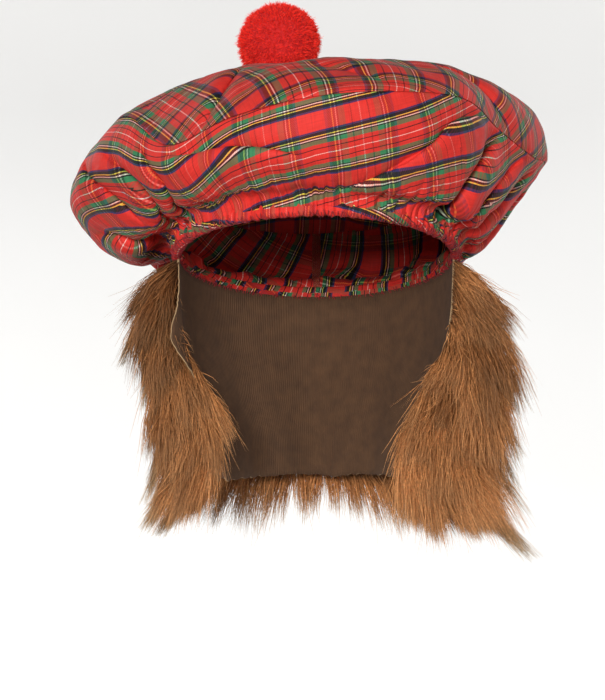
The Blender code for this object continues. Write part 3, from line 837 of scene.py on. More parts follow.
class PileTree:
    """A Geometry Nodes tree that grows clumped strands on a surface.

    The surface carries, at its points, the way out (out), how far a strand reaches that way
    (reach), how far it falls (drop), the way it is combed sideways (comb), how dense the strands
    stand (fullness), and the painted light there, which makes them lighter where it is positive and
    darker where it is negative (painted_light).
    """

    INPUTS = {
        "Strands": 1.0e6, "Tufts": 1.0e4, "Points": 6, "Width": 0.0004, "Clump": 0.7, "Uneven": 0.2,
        "Splay": 0.01, "Frizz": 0.002, "Stray": 0.003, "Loft": 0.0, "Mottle": 0.0, "Pale": 0.6,
        "Lift": 1.7, "Sag": 1.45, "Seed": 1, "Material": None,
    }
    ON_SURFACE = {
        **dict.fromkeys(("out", "comb"), "FLOAT_VECTOR"),
        **dict.fromkeys(("reach", "drop", "fullness", "painted_light"), "FLOAT"),
    }
    OF_TUFT = ("root", "out", "reach", "drop", "comb")
    size_range = (0.72, 1.08)
    splay_range = (1.0, 1.0, 0.6)
    stray_least = 0.75
    stray_most = 2.6
    wildness = 8.0
    wild_light = 0.7
    tuft_light = 0.4
    patch_size = 11.765 * MM
    clump_rise = 1.2
    curl_size = 6.6667 * MM
    curl_apart = 5.0
    tip_taper = 0.85

    def __init__(self, name: str) -> None:
        """Builds the tree with its named inputs."""
        self.tree = new_geometry_tree(name, self.INPUTS)
        self.given = add_node(self.tree, "NodeGroupInput").outputs
        self.grow()

    def read(self, kinds: dict[str, str]) -> dict[str, Socket]:
        """Reads attributes of the geometry, given by name with their data types."""
        return {
            name: result(self.tree, "GeometryNodeInputNamedAttribute", name, data_type=kind)
            for name, kind in kinds.items()
        }

    def keep(self, geometry: Socket, name: str, kind: str, value: Socket) -> Socket:
        """Stores an attribute of a data type on the geometry's points."""
        store_node = "GeometryNodeStoreNamedAttribute"
        return result(self.tree, store_node, geometry, True, name, value, data_type=kind)

    def random(self, low: Any, high: Any, seed: int, kind: str = "FLOAT", key: Any = 0) -> Socket:
        """A random value for each point, or for each key.

        Args:
            low: The least value.
            high: The greatest value.
            seed: What is added to the tree's own seed.
            kind: The value's data type.
            key: An index that points may share, for one value each.

        Returns:
            The value.
        """
        seed_sum = result(self.tree, MATHS, self.given["Seed"], float(seed), operation="ADD")
        return result(self.tree, "FunctionNodeRandomValue", low, high, key, seed_sum, data_type=kind)

    def path(self, root: Any, out: Any, reach: Any, drop: Any, comb: Any, along: Socket) -> Socket:
        """The place of a point on a strand that leaves outwards and bends down.

        Args:
            root: Where the strand stands.
            out: The way it leaves.
            reach: How far it reaches that way.
            drop: How far it falls.
            comb: How far it is combed sideways.
            along: The point's share of the way from root to tip.

        Returns:
            The place.
        """
        tree = self.tree
        left = result(tree, MATHS, 1.0, along, operation="SUBTRACT")
        left = result(tree, MATHS, left, self.given["Lift"], operation="POWER")
        outward = result(tree, MATHS, 1.0, left, operation="SUBTRACT")
        outward = result(tree, MATHS, outward, reach, operation="MULTIPLY")
        fallen = result(tree, MATHS, along, self.given["Sag"], operation="POWER")
        fallen = result(tree, MATHS, fallen, drop, operation="MULTIPLY")
        fallen = result(tree, MATHS, fallen, -1.0, operation="MULTIPLY")
        moved = result(tree, VECTORS, out, outward, operation="SCALE")
        moved = result(tree, VECTORS, root, moved, operation="ADD")
        down = add_node(tree, "ShaderNodeCombineXYZ", {"Z": fallen}).outputs["Vector"]
        side = result(tree, VECTORS, comb, along, operation="SCALE")
        side = result(tree, VECTORS, down, side, operation="ADD")
        return result(tree, VECTORS, moved, side, operation="ADD")

    def grow(self) -> None:
        """Scatters roots and tufts, grows a strand on each root and turns it to a ribbon."""
        tree, given = self.tree, self.given
        here = self.read(self.ON_SURFACE)
        density = result(tree, MATHS, given["Strands"], here["fullness"], operation="MULTIPLY")
        tuft_seed = result(tree, MATHS, given["Seed"], 7.0, operation="ADD")
        scatter = "GeometryNodeDistributePointsOnFaces"
        roots = result(tree, scatter, given["Geometry"], True, density, given["Seed"])
        tufts = result(tree, scatter, given["Geometry"], True, given["Tufts"], tuft_seed)
        place = result(tree, "GeometryNodeInputPosition")
        nearest = result(tree, "GeometryNodeSampleNearest", tufts)

        uneven = self.random(-1.0, 1.0, 11, key=nearest)
        uneven = result(tree, MATHS, uneven, given["Uneven"], operation="MULTIPLY")
        splay_least = tuple(-most for most in self.splay_range)
        splay = self.random(splay_least, self.splay_range, 12, "FLOAT_VECTOR", nearest)
        stray = self.random((-1.0, -1.0, -1.0), (1.0, 1.0, 1.0), 17, "FLOAT_VECTOR")
        wild = result(tree, MATHS, self.random(0.0, 1.0, 19), self.wildness, operation="POWER")
        far = result(tree, MATHS, wild, self.stray_most, self.stray_least, operation="MULTIPLY_ADD")
        far = result(tree, MATHS, far, given["Stray"], operation="MULTIPLY")
        least_loft = result(tree, MATHS, 1.0, given["Loft"], operation="SUBTRACT")
        shade = self.shade(nearest, place, here["painted_light"])
        facts = {
            "root": ("FLOAT_VECTOR", place),
            "tuft_scale": ("FLOAT", result(tree, MATHS, uneven, 1.0, operation="ADD")),
            "splay": ("FLOAT_VECTOR", result(tree, VECTORS, splay, given["Splay"], operation="SCALE")),
            "stray": ("FLOAT_VECTOR", result(tree, VECTORS, stray, far, operation="SCALE")),
            "size": ("FLOAT", self.random(*self.size_range, 13)),
            "loft": ("FLOAT", self.random(least_loft, 1.0, 18)),
            "turn": ("FLOAT", self.random(0.0, math.pi, 14)),
            "shade": ("FLOAT", result(tree, MATHS, wild, self.wild_light, shade, operation="MULTIPLY_ADD")),
            "pale": ("FLOAT", given["Pale"]),
        }
        sources = {"root": place, **here}
        for name in self.OF_TUFT:
            kind = self.ON_SURFACE.get(name, "FLOAT_VECTOR")
            of_tuft = result(tree, "GeometryNodeSampleIndex", tufts, sources[name], nearest, data_type=kind)
            facts[f"tuft_{name}"] = (kind, of_tuft)
        for name, (kind, value) in facts.items():
            roots = self.keep(roots, name, kind, value)

        line = result(tree, "GeometryNodeCurvePrimitiveLine")
        line = result(tree, "GeometryNodeResampleCurve", line, True, given["Points"])
        strands = result(tree, "GeometryNodeInstanceOnPoints", roots, True, line)
        strands = result(tree, "GeometryNodeRealizeInstances", strands)
        kept = self.read({name: kind for name, (kind, _) in facts.items()})
        strands = self.shape_strands(strands, here | kept)
        done = result(tree, "GeometryNodeSetMaterial", strands, True, given["Material"])
        add_node(tree, "NodeGroupOutput", {0: done})

    def shade(self, nearest: Socket, place: Socket, painted_light: Socket) -> Socket:
        """How light a strand is: partly its tuft's, partly its own, with darker patches.

        Args:
            nearest: The strand's tuft.
            place: Where the strand stands.
            painted_light: The painted light and shade there, added to the strands' lightness.

        Returns:
            The lightness, about 0.5 in the middle.
        """
        tree = self.tree
        tuft = result(
            tree, MATHS, self.random(0.0, 1.0, 15, key=nearest), self.tuft_light, operation="MULTIPLY"
        )
        own = result(tree, MATHS, self.random(0.0, 1.0, 16), 1.0 - self.tuft_light, operation="MULTIPLY")
        patches = result(tree, NOISE, place, 1.0 / self.patch_size, 2.0)
        patches = result(tree, MATHS, patches, 0.5, operation="SUBTRACT")
        patches = result(tree, MATHS, patches, self.given["Mottle"], operation="MULTIPLY")
        # Adds the painted light and shade that the surface carries.
        patches = result(tree, MATHS, patches, painted_light, operation="ADD")
        each = result(tree, MATHS, tuft, own, operation="ADD")
        return result(tree, MATHS, each, patches, operation="ADD")

    def shape_strands(self, strands: Socket, here: dict[str, Socket]) -> Socket:
        """Bends the strands, draws them to their tufts' tips, and gives them a tapered width.

        Args:
            strands: Straight curves, with their roots' attributes.
            here: Those attributes by name.

        Returns:
            The strands as ribbons.
        """
        tree, given = self.tree, self.given
        along = result(tree, "GeometryNodeSplineParameter")
        scale = result(tree, MATHS, here["tuft_scale"], here["size"], operation="MULTIPLY")
        lofted = result(tree, MATHS, scale, here["loft"], operation="MULTIPLY")
        paths = []
        for whose in ("", "tuft_"):
            reach = result(tree, MATHS, here[whose + "reach"], lofted, operation="MULTIPLY")
            drop = result(tree, MATHS, here[whose + "drop"], scale, operation="MULTIPLY")
            comb = result(tree, VECTORS, here[whose + "comb"], here["splay"], operation="ADD")
            paths.append(self.path(here[whose + "root"], here[whose + "out"], reach, drop, comb, along))
        drawn = result(tree, MATHS, along, self.clump_rise, operation="POWER")
        drawn = result(tree, MATHS, drawn, given["Clump"], operation="MULTIPLY")
        placed = result(tree, "ShaderNodeMix", drawn, *paths, data_type="VECTOR")
        apart = result(tree, VECTORS, here["stray"], self.curl_apart, operation="SCALE")
        apart = result(tree, VECTORS, placed, apart, operation="ADD")
        curl = add_node(tree, NOISE, {"Vector": apart, "Scale": 1.0 / self.curl_size, "Detail": 2.0})
        curl = result(tree, VECTORS, curl.outputs["Color"], (0.5, 0.5, 0.5), operation="SUBTRACT")
        frizz = result(tree, MATHS, along, given["Frizz"], operation="MULTIPLY")
        frizz = result(tree, MATHS, frizz, 2.0, operation="MULTIPLY")
        curl = result(tree, VECTORS, curl, frizz, operation="SCALE")
        placed = result(tree, VECTORS, placed, curl, operation="ADD")
        strayed = result(tree, VECTORS, here["stray"], along, operation="SCALE")
        placed = result(tree, VECTORS, placed, strayed, operation="ADD")
        strands = result(tree, "GeometryNodeSetPosition", strands, True, placed)
        strands = self.keep(strands, "along", "FLOAT", along)
        taper = result(tree, MATHS, along, 2.0, operation="POWER")
        taper = result(tree, MATHS, taper, self.tip_taper, operation="MULTIPLY")
        taper = result(tree, MATHS, 1.0, taper, operation="SUBTRACT")
        width = result(tree, MATHS, taper, given["Width"], operation="MULTIPLY")
        strands = result(tree, "GeometryNodeSetCurveRadius", strands, True, width)
        strands = result(tree, "GeometryNodeSetCurveTilt", strands, True, here["turn"])
        flat = result(tree, "GeometryNodeCurvePrimitiveLine", (-0.5, 0.0, 0.0), (0.5, 0.0, 0.0))
        radius = result(tree, "GeometryNodeInputRadius")
        return result(tree, "GeometryNodeCurveToMesh", strands, flat, radius)

    def grow_on(self, surface: Item, **values: Any) -> Item:
        """Turns a surface to its strands; values are the tree's inputs in lower case."""
        return run_tree(surface, self.tree, values)


@dataclass
class CapShape:
    """The worn shape of the cap, from the same measures as its solids."""

    tilt: float = math.radians(12.5)
    half_width: float = 0.078
    half_depth: float = 0.095
    casing_height: float = 0.009
    casing_depth: float = 0.0052
    gap: float = 0.0003
    band_start: float = 0.0058
    band_low: float = 0.0052
    brim_reach: float = 0.0090
    brim_rise: float = 0.0022
    centre: tuple[float, float, float] = (-0.0214, -0.013, 0.1030)
    centre_handle: float = 0.045
    seam_overhang: float = 0.0030
    seam_gap: float = 0.0008
    profile_steps: int = 40

    def opening_radius(self, azimuths: Array) -> Array:
        """Radius of the elliptical head opening."""
        angle = np.radians(azimuths)
        size = np.hypot(self.half_depth * np.sin(angle), self.half_width * np.cos(angle))
        return self.half_width * self.half_depth / size

    @staticmethod
    def polar(azimuths: Array, radius: Any, height: Any) -> Array:
        """Points in the upright cap frame, from their azimuth, radius and height."""
        angle = np.radians(azimuths)
        return np.stack(
            [radius * np.sin(angle), -radius * np.cos(angle), height + 0.0 * radius * angle], axis=-1
        )

    def worn(self, points: Array) -> Array:
        """Turns points or directions of the upright cap frame to the way the cap is worn."""
        turned = np.array(points, float)
        turned[..., 1] = points[..., 1] * math.cos(self.tilt) + points[..., 2] * math.sin(self.tilt)
        turned[..., 2] = points[..., 2] * math.cos(self.tilt) - points[..., 1] * math.sin(self.tilt)
        return turned

    @staticmethod
    def read_sections(azimuths: Array) -> Array:
        """The section measures, on a smooth closed curve through the table.

        Args:
            azimuths: Where they are read, in degrees.

        Returns:
            A row of measures for each azimuth.
        """
        table = np.array([row[1:] for row in SECTIONS])
        place = (azimuths % 360.0) * len(table) / 360.0
        index = np.floor(place).astype(int)
        t = (place - index)[:, None]
        before, here, after, beyond = (table[(index + shift) % len(table)] for shift in (-1, 0, 1, 2))
        return smooth_stretch(t, here, (after - before) / 2.0, after, (beyond - here) / 2.0)

    def profiles(self, azimuths: Array) -> tuple[Array, Array]:
        """The outer curves at each azimuth, before any fold.

        Args:
            azimuths: Where they are cut, in degrees.

        Returns:
            The band's curves, from the casing up, and the top disc's, from the seam in.
        """
        under_r, under_z, belly_r, belly_z, seam_r, seam_z, roof_r, roof_z = self.read_sections(azimuths).T
        opening = self.opening_radius(azimuths)
        stations = [
            self.polar(azimuths, opening + self.band_start, self.band_low),
            self.polar(azimuths, opening + self.brim_reach, self.casing_height + self.brim_rise),
            self.polar(azimuths, under_r, under_z),
            self.polar(azimuths, belly_r, belly_z),
            self.polar(azimuths, seam_r, seam_z),
        ]
        band = curve_through(stations, self.profile_steps)
        seam = stations[-1]
        centre = np.broadcast_to(np.array(self.centre), seam.shape)
        near_centre = centre + self.polar(azimuths, self.centre_handle, 0.0)
        top = bezier(seam, self.polar(azimuths, roof_r, roof_z), near_centre, centre, 2 * self.profile_steps)
        return band, top

    @staticmethod
    def axes(grid: Array) -> tuple[Array, Array, Array]:
        """Unit vectors round, along and out of a closed grid of sections."""
        around = unit(np.roll(grid, -1, axis=0) - np.roll(grid, 1, axis=0))
        along = unit(np.gradient(grid, axis=1))
        return around, along, unit(np.cross(around, along))


@dataclass
class FoldedCloth:
    """A stretch of the cap's cloth as a closed grid, with pleats pressed into it.

    Above a pleat's valley stands a low crest, whose rise is a share of the depth and whose width
    is so many times the fold's over width. The cloth that a pleat hides is missing beside it, up
    to the slack's reach and past its ends, all in millimetres, and nowhere beyond the slack's end.
    """

    shape: CapShape
    grid: Array
    azimuths: Array
    shares: Array
    crest_rise: float = 0.20
    crest_width: float = 3.4
    slack_reach: float = 28.0
    slack_past: float = 18.0
    slack_end: float = 0.048
    end_fade: float = 5.0
    tip_strength: float = 0.05
    valley_round: float = 0.2
    valley_flat: float = 0.45
    station_scale: tuple[float, float] = (2.0, 100.0)

    def __post_init__(self) -> None:
        """Keeps the unfolded surface and its outward normals."""
        self.rest = self.grid.copy()
        self.around, self.along, self.normal = self.shape.axes(self.rest)
        self.slack = np.zeros(self.rest.shape[:2] + (2,))

    def on_surface(self, surface: Array, stations: Array) -> Array:
        """Reads values of the grid between its points.

        Args:
            surface: The values at the grid's points.
            stations: Azimuth and share of each place.

        Returns:
            The value at each station.
        """
        n = len(self.azimuths)
        column = np.interp(stations[:, 0] % 360.0, np.append(self.azimuths, 360.0), np.arange(n + 1))
        row = np.interp(stations[:, 1], self.shares, np.arange(len(self.shares)))
        i, j = np.floor(column).astype(int), np.minimum(row.astype(int), len(self.shares) - 2)
        u, v = (column - i)[:, None], (row - j)[:, None]
        low = surface[i % n, j] * (1 - u) + surface[(i + 1) % n, j] * u
        high = surface[i % n, j + 1] * (1 - u) + surface[(i + 1) % n, j + 1] * u
        return low * (1 - v) + high * v

    def fold_line(self, fold: Fold, steps: int = 40) -> Array:
        """Stations close together on a smooth line through the fold's own.

        Args:
            fold: The pleat, with three stations or more.
            steps: About how many stations the line has.

        Returns:
            Azimuth and share of each; its scale gives both about the same length in the curve.
        """
        scaled = np.array(fold.stations, float) * self.station_scale
        curve = curve_through([row[None] for row in scaled], steps)[0]
        return curve[:: len(scaled) - 1] / self.station_scale

    def press(self, folds: tuple[Fold, ...], ease: Array) -> None:
        """Presses pleats into the cloth, each across the surface as it was before them.

        Args:
            folds: The pleats.
            ease: How fully the cloth may move at each share.
        """
        sink = np.zeros(self.rest.shape[:2])
        slide = np.zeros_like(self.rest)
        for fold in folds:
            line = self.fold_line(fold)
            points = self.on_surface(self.rest, line)
            way = unit(np.gradient(points, axis=0))
            step = np.linalg.norm(np.gradient(points, axis=0), axis=1)
            right = unit(np.cross(way, self.on_surface(self.normal, line)))
            low, high = points.min(0) - self.slack_end, points.max(0) + self.slack_end
            near = np.argwhere(((self.rest > low) & (self.rest < high)).all(-1))
            here = self.rest[near[:, 0], near[:, 1]]
            miss = here[:, None] - points[None]
            nearest = np.linalg.norm(miss, axis=2).argmin(1)
            ahead = (miss[np.arange(len(here)), nearest] * way[nearest]).sum(-1)
            place = np.clip(nearest + ahead / step[nearest], 0.0, len(points) - 1.0)
            foot, aside = (
                np.stack([np.interp(place, np.arange(len(points)), row) for row in values.T], axis=-1)
                for values in (points, right)
            )
            offset = here - foot
            across = (offset * aside).sum(-1) / MM
            away = np.linalg.norm(offset, axis=1) / MM
            past = np.sqrt(np.maximum(away**2 - across**2, 0.0))
            place /= len(points) - 1
            inside = self.tip_strength + (1.0 - 2.0 * self.tip_strength) * place
            fade = np.sin(np.pi * np.clip(inside, 0.0, 1.0)) ** 0.5
            fade *= np.exp(-((past / self.end_fade) ** 2))
            width = np.where(across > 0, fold.over, fold.under)
            round_off = np.sqrt(across**2 + self.valley_round) - self.valley_flat
            dip = fold.depth * fade * np.exp(-np.maximum(round_off, 0.0) / width)
            crest = np.maximum(across, 0.0) / fold.over
            lean = fold.lean * fade * crest * np.exp(1.0 - crest)
            swell = crest / self.crest_width
            dip -= self.crest_rise * fold.depth * fade * swell * np.exp(1.0 - swell)
            at = near[:, 0], near[:, 1]
            sink[at] += dip * MM
            slide[at] -= aside * (lean * MM)[:, None]
            taken = np.clip(0.5 + across / fold.over, 0.0, 1.0)
            taken *= np.exp(-np.maximum(across, 0.0) / self.slack_reach)
            taken *= np.clip(1.0 - (away * MM / self.slack_end) ** 2, 0.0, 1.0)
            spread = np.sin(np.pi * place) * np.exp(-((past / self.slack_past) ** 2))
            taken *= fold.hidden * fold.depth * spread * MM
            ways = [(aside * axis[at]).sum(-1) for axis in (self.around, self.along)]
            self.slack[at] += np.stack(ways, axis=-1) * taken[:, None]
        held = ease[None, :, None]
        self.grid = self.rest - self.normal * sink[..., None] * held + slide * held

    def puff(self, amount: Array) -> None:
        """Moves the cloth along its normals, outwards where the amount is positive."""
        _, _, normal = self.shape.axes(self.grid)
        self.grid = self.grid + normal * amount[..., None]

    def wrong_side(self, step: int, wall: float) -> Array:
        """The cloth's inner face, clear of the pleats' deepest places.

        Args:
            step: Every how many points it has one.
            wall: The cloth's thickness.

        Returns:
            Its grid.
        """
        deep_shade = ((self.rest - self.grid) * self.normal).sum(-1)
        reach = deep_shade.copy()
        for shift in range(-step, step + 1):
            reach = np.maximum(reach, np.roll(deep_shade, shift, axis=0))
        deep_shade = reach.copy()
        for shift in range(1, step + 1):
            reach[:, shift:] = np.maximum(reach[:, shift:], deep_shade[:, :-shift])
            reach[:, :-shift] = np.maximum(reach[:, :-shift], deep_shade[:, shift:])
        inner = self.rest - self.normal * (reach + wall)[..., None]
        return inner[::step, ::step]


def ease_ends(shares: Array, first: float, last: float) -> Array:
    """Rises from 0 over the first share of the way, and falls to 0 over the last."""
    rise = np.clip(shares / first, 0.0, 1.0) * np.clip((1.0 - shares) / last, 0.0, 1.0)
    return eased(rise)


class Bulges(NamedTuple):
    """Soft random bulges of the cloth: their size and height, and where in the noise it lies."""

    size: float
    height: float
    seed: float

    def rise(self, points: Array) -> Array:
        """How far the cloth stands out at each point of a grid."""
        flat = points.reshape(-1, 3) / self.size + self.seed
        values = [noise.noise(Vector(p), noise_basis="PERLIN_ORIGINAL") for p in flat.tolist()]
        return np.array(values).reshape(points.shape[:2]) * self.height


@dataclass(frozen=True)
class Gathers:
    """The small puckers that the elastic draws into the hem and the band above it."""

    count: int = 104
    fine: float = 2.3
    fine_share: float = 0.35

    def wave(self, azimuths: Array) -> Array:
        """The depth of the puckers.

        Args:
            azimuths: Where it is read, in degrees.

        Returns:
            0 on a crest to about 1 in a valley.
        """
        drift = smooth_noise(azimuths, 38, 3) * 1.2 + smooth_noise(azimuths, 17, 4) * 1.6
        wave = 0.5 + 0.5 * np.cos(np.radians(azimuths) * self.count + 2.0 * drift)
        fine = 0.5 + 0.5 * np.cos(np.radians(azimuths) * self.count * self.fine + 3.0 * drift)
        uneven = 1.0 + 0.6 * smooth_noise(azimuths, 90, 5)
        return (0.8 * wave**1.8 + self.fine_share * fine) * uneven


@dataclass(frozen=True)
class BandGrain:
    """How the band was cut: a strip of cloth whose straight grain turns as it runs round the cap.

    The table holds the stripes' heading at each azimuth, in degrees, measured from the seam.
    """

    seam_radius: float = 0.142
    headings: tuple[tuple[float, float], ...] = BAND_HEADINGS

    def pattern(self, azimuths: Array, from_seam: Array, slack: Array | None = None) -> Array:
        """Where each point of the band lay on the flat cloth, with the first column again at the end.

        Args:
            azimuths: The columns' azimuths.
            from_seam: Each point's length from the seam.
            slack: Cloth that pleats hide before a point, round the band and up it.

        Returns:
            Warp and weft coordinates in metres.
        """
        turn = np.linspace(-180.0, 180.0, 721)
        table = np.array(self.headings, float)
        heading = np.radians(np.interp(turn, table[:, 0], table[:, 1]))
        heading = np.convolve(np.pad(heading, 20, mode="edge"), np.full(41, 1 / 41), mode="valid")
        step = self.seam_radius * np.radians(turn[1] - turn[0])
        path = [np.cumsum(wave(heading)) * step for wave in (np.cos, np.sin)]
        wanted = np.append(azimuths, 360.0)
        wanted = np.where(wanted > 180.0, wanted - 360.0, wanted)
        along_u, along_v, angle = (np.interp(wanted, turn, row)[:, None] for row in (*path, heading))
        down = np.concatenate([from_seam, from_seam[:1]])
        across, up = 0.0, 0.0
        if slack is not None:
            across, up = np.moveaxis(np.concatenate([slack, slack[:1]]), -1, 0)
        down = down - up
        u = along_u + across * np.cos(angle) - down * np.sin(angle)
        v = along_v + across * np.sin(angle) + down * np.cos(angle)
        return np.stack([u, v], axis=-1)


@dataclass
class Crown:
    """The side band and the top disc, gathered below and joined at the seam."""

    shape: CapShape
    columns: int = 880
    band_rows: int = 88
    top_columns: int = 560
    top_rows: int = 52
    front_bias: float = 0.45
    cloth: float = 1.3 * MM
    gathers: Gathers = Gathers()
    gather_depth: float = 1.9 * MM
    gather_reach: float = 19 * MM
    tucks: int = 58
    tuck_lean: float = 3.0
    tuck_reach: tuple[float, float] = (0.018, 0.052)
    tuck_depth: tuple[float, float] = (1.0 * MM, 2.6 * MM)
    tuck_width: tuple[float, float] = (0.9, 1.9)
    band_bulges: tuple[Bulges, ...] = (Bulges(0.021, 1.5 * MM, 4.0), Bulges(0.008, 0.5 * MM, 9.0))
    top_bulges: tuple[Bulges, ...] = (Bulges(0.026, 1.8 * MM, 2.0), Bulges(0.010, 0.6 * MM, 6.0))
    seam_allowance: float = 6 * MM
    allowance_rows: tuple[float, float] = (0.35, 1.0)
    past_seam: tuple[float, float] = (2 * MM, 5 * MM)
    seam_tuck: float = 1.5 * MM
    hem_turn: float = 0.6 * MM
    hem_tuck: float = 1.6 * MM
    # The top disc's cloth is darkened as painted shade on the top.
    top_painted_shade: float = 0.84
    grain: BandGrain = BandGrain()
    top_grain: float = math.radians(-8)
    finish: TartanCloth = field(default_factory=TartanCloth)
    top_finish: TartanCloth = TartanCloth(weft_share=0.65)

    def azimuths(self, columns: int) -> Array:
        """The azimuths of the cloth's columns, closer together at the front."""
        turn = np.linspace(0.0, 360.0, 3601)
        crowd = turn + np.degrees(self.front_bias * np.sin(np.radians(turn)))
        return np.interp(np.arange(columns) * 360.0 / columns, crowd, turn)

    def rim_tucks(self, azimuths: Array, above_hem: Array) -> Array:
        """How far the gathers at the casing sink the band.

        Args:
            azimuths: The columns' azimuths.
            above_hem: Length from the casing, for each column and row.

        Returns:
            The sink at each point, in metres.
        """
        fine = self.gather_depth * self.gathers.wave(azimuths)[:, None]
        sink = fine * np.exp(-((above_hem / self.gather_reach) ** 1.3))
        random = np.random.default_rng(11)
        for k in range(self.tucks):
            centre = (k + random.uniform(-0.4, 0.4)) * 360.0 / self.tucks
            lean = random.uniform(-self.tuck_lean, self.tuck_lean)
            reach = random.uniform(*self.tuck_reach)
            deep_shade = random.uniform(*self.tuck_depth)
            width = random.uniform(*self.tuck_width)
            turn = (azimuths[:, None] - centre - lean * above_hem / reach + 180.0) % 360.0 - 180.0
            valley = np.exp(-np.abs(turn) / (width * (0.5 + above_hem / reach)))
            sink += deep_shade * valley * np.clip(1.0 - above_hem / reach, 0.0, 1.0) ** 1.3
        return sink

    def build_band(self) -> None:
        """Makes the band, from inside the casing to its seam allowance under the disc."""
        azimuths = self.azimuths(self.columns)
        band, _ = self.shape.profiles(azimuths)
        length = lengths_along(band)[:, -1]
        shares = np.linspace(0.0, 1.0, self.band_rows + 1) ** 1.1
        grid = sample_curves(band, 0.0 * length, length - self.shape.seam_overhang, shares)
        cloth = FoldedCloth(self.shape, grid, azimuths, shares)
        cloth.press(BAND_FOLDS, ease_ends(shares, 0.08, 0.07))
        above_hem = length[:, None] * shares[None, :]
        cloth.puff(-self.rim_tucks(azimuths, above_hem))
        wander = sum(bulges.rise(grid) for bulges in self.band_bulges)
        cloth.puff(wander * ease_ends(shares, 0.10, 0.12)[None, :])
        from_seam = length[:, None] - above_hem
        self.make_band_face("crown_band_cloth", cloth, from_seam, 1, 1.0)
        # The wrong side's colour is darkened as painted shade inside the cap.
        self.make_band_face("crown_band_wrong_side", cloth, from_seam, 3, 0.9)

    def make_band_face(
        self, name: str, cloth: FoldedCloth, from_seam: Array, step: int, depth: float
    ) -> None:
        """Makes one face of the band, with its edges turned in out of sight.

        Args:
            name: The piece's name.
            cloth: The folded cloth.
            from_seam: Each point's length from the seam.
            step: 1 for the outer face, or every how many points the inner face has one.
            depth: How far its colour is darkened as painted shade, 1 for none.
        """
        grid = cloth.grid if step == 1 else cloth.wrong_side(step, self.cloth)
        azimuths, from_seam, slack = (a[::step] for a in (cloth.azimuths, from_seam, cloth.slack))
        from_seam, slack = from_seam[:, ::step], slack[:, ::step]
        _, along, normal = self.shape.axes(grid)
        turned_in = [grid[:, :1] - along[:, :1] * self.hem_turn - normal[:, :1] * self.hem_tuck]
        for share in self.allowance_rows:
            up = along[:, -1:] * self.seam_allowance * share
            turned_in.append(grid[:, -1:] + up - normal[:, -1:] * self.seam_tuck * (1.0 + share))
        whole = np.concatenate([turned_in[0], grid, *turned_in[1:]], axis=1)
        first, last = from_seam[:, :1], from_seam[:, -1:]
        edge = [first + self.hem_tuck, from_seam, *(last - past for past in self.past_seam)]
        slack = np.pad(slack, ((0, 0), (1, 2), (0, 0)), mode="edge")
        pattern = self.grain.pattern(azimuths, np.concatenate(edge, axis=1), slack)
        whole = self.shape.worn(whole)
        if step > 1:
            whole, pattern = whole[:, ::-1], pattern[:, ::-1]
        item = object_from_grid(name, whole, pattern)
        item.data.materials.append(self.finish.build(name.replace("crown", "cotton_tartan"), depth))
        finish_piece(item, Slot.TARTAN, "crown_band")

    def build_top(self) -> None:
        """Makes the top disc, turned down over the seam."""
        azimuths = self.azimuths(self.top_columns)
        band, top = self.shape.profiles(azimuths)
        band_length = lengths_along(band)[:, -1]
        length = lengths_along(top)[:, -1]
        shares = np.linspace(0.0, 1.0, self.top_rows + 1) ** 1.15
        grid = sample_curves(top, 0.0 * length, length, shares)
        cloth = FoldedCloth(self.shape, grid, azimuths, shares)
        ease = ease_ends(shares, 0.06, 0.30)
        cloth.press(TOP_FOLDS, ease)
        wander = sum(bulges.rise(grid) for bulges in self.top_bulges)
        cloth.puff(wander * ease[None, :])
        lip_start = band_length - self.shape.seam_overhang + self.shape.seam_gap
        lip = sample_curves(band, lip_start, band_length, np.linspace(0.0, 1.0, 4))[:, :3]
        from_centre = length[:, None] * (1.0 - shares[None, :])
        edge = from_centre[:, :1] + (band_length - lip_start)[:, None] * np.linspace(1.0, 0.25, 3)[None, :]
        outer = np.concatenate([lip, cloth.grid], axis=1)
        self.make_disc("crown_top_cloth", outer, azimuths, np.concatenate([edge, from_centre], axis=1))
        inner = cloth.wrong_side(2, self.cloth)[:, ::-1]
        self.make_disc("crown_top_wrong_side", inner, azimuths[::2], from_centre[::2, ::2][:, ::-1])

    def make_disc(self, name: str, grid: Array, azimuths: Array, radius: Array) -> None:
        """Makes one face of the disc.

        Args:
            name: The piece's name.
            grid: Its points.
            azimuths: Its columns' azimuths.
            radius: Each point's length from the centre, along the cloth.
        """
        closed = np.concatenate([radius, radius[:1]])
        angle = np.radians(np.append(azimuths, 360.0))[:, None] + self.top_grain
        pattern = np.stack([closed * np.sin(angle), -closed * np.cos(angle)], axis=-1)
        item = object_from_grid(name, self.shape.worn(grid), pattern)
        weld(item)
        # The top's cloth is darkened here as painted shade.
        finish = self.top_finish.build(name.replace("crown", "cotton_tartan"), self.top_painted_shade)
        item.data.materials.append(finish)
        finish_piece(item, Slot.TARTAN, "crown_top")

    def build(self) -> None:
        """Makes both pieces."""
        self.build_band()
        self.build_top()


def weld(item: Item) -> None:
    """Joins points that meet.

    Args:
        item: The object that has them.
    """
    shape = bmesh.new()
    shape.from_mesh(item.data)
    bmesh.ops.remove_doubles(shape, verts=shape.verts, dist=1e-6)
    shape.to_mesh(item.data)
    shape.free()


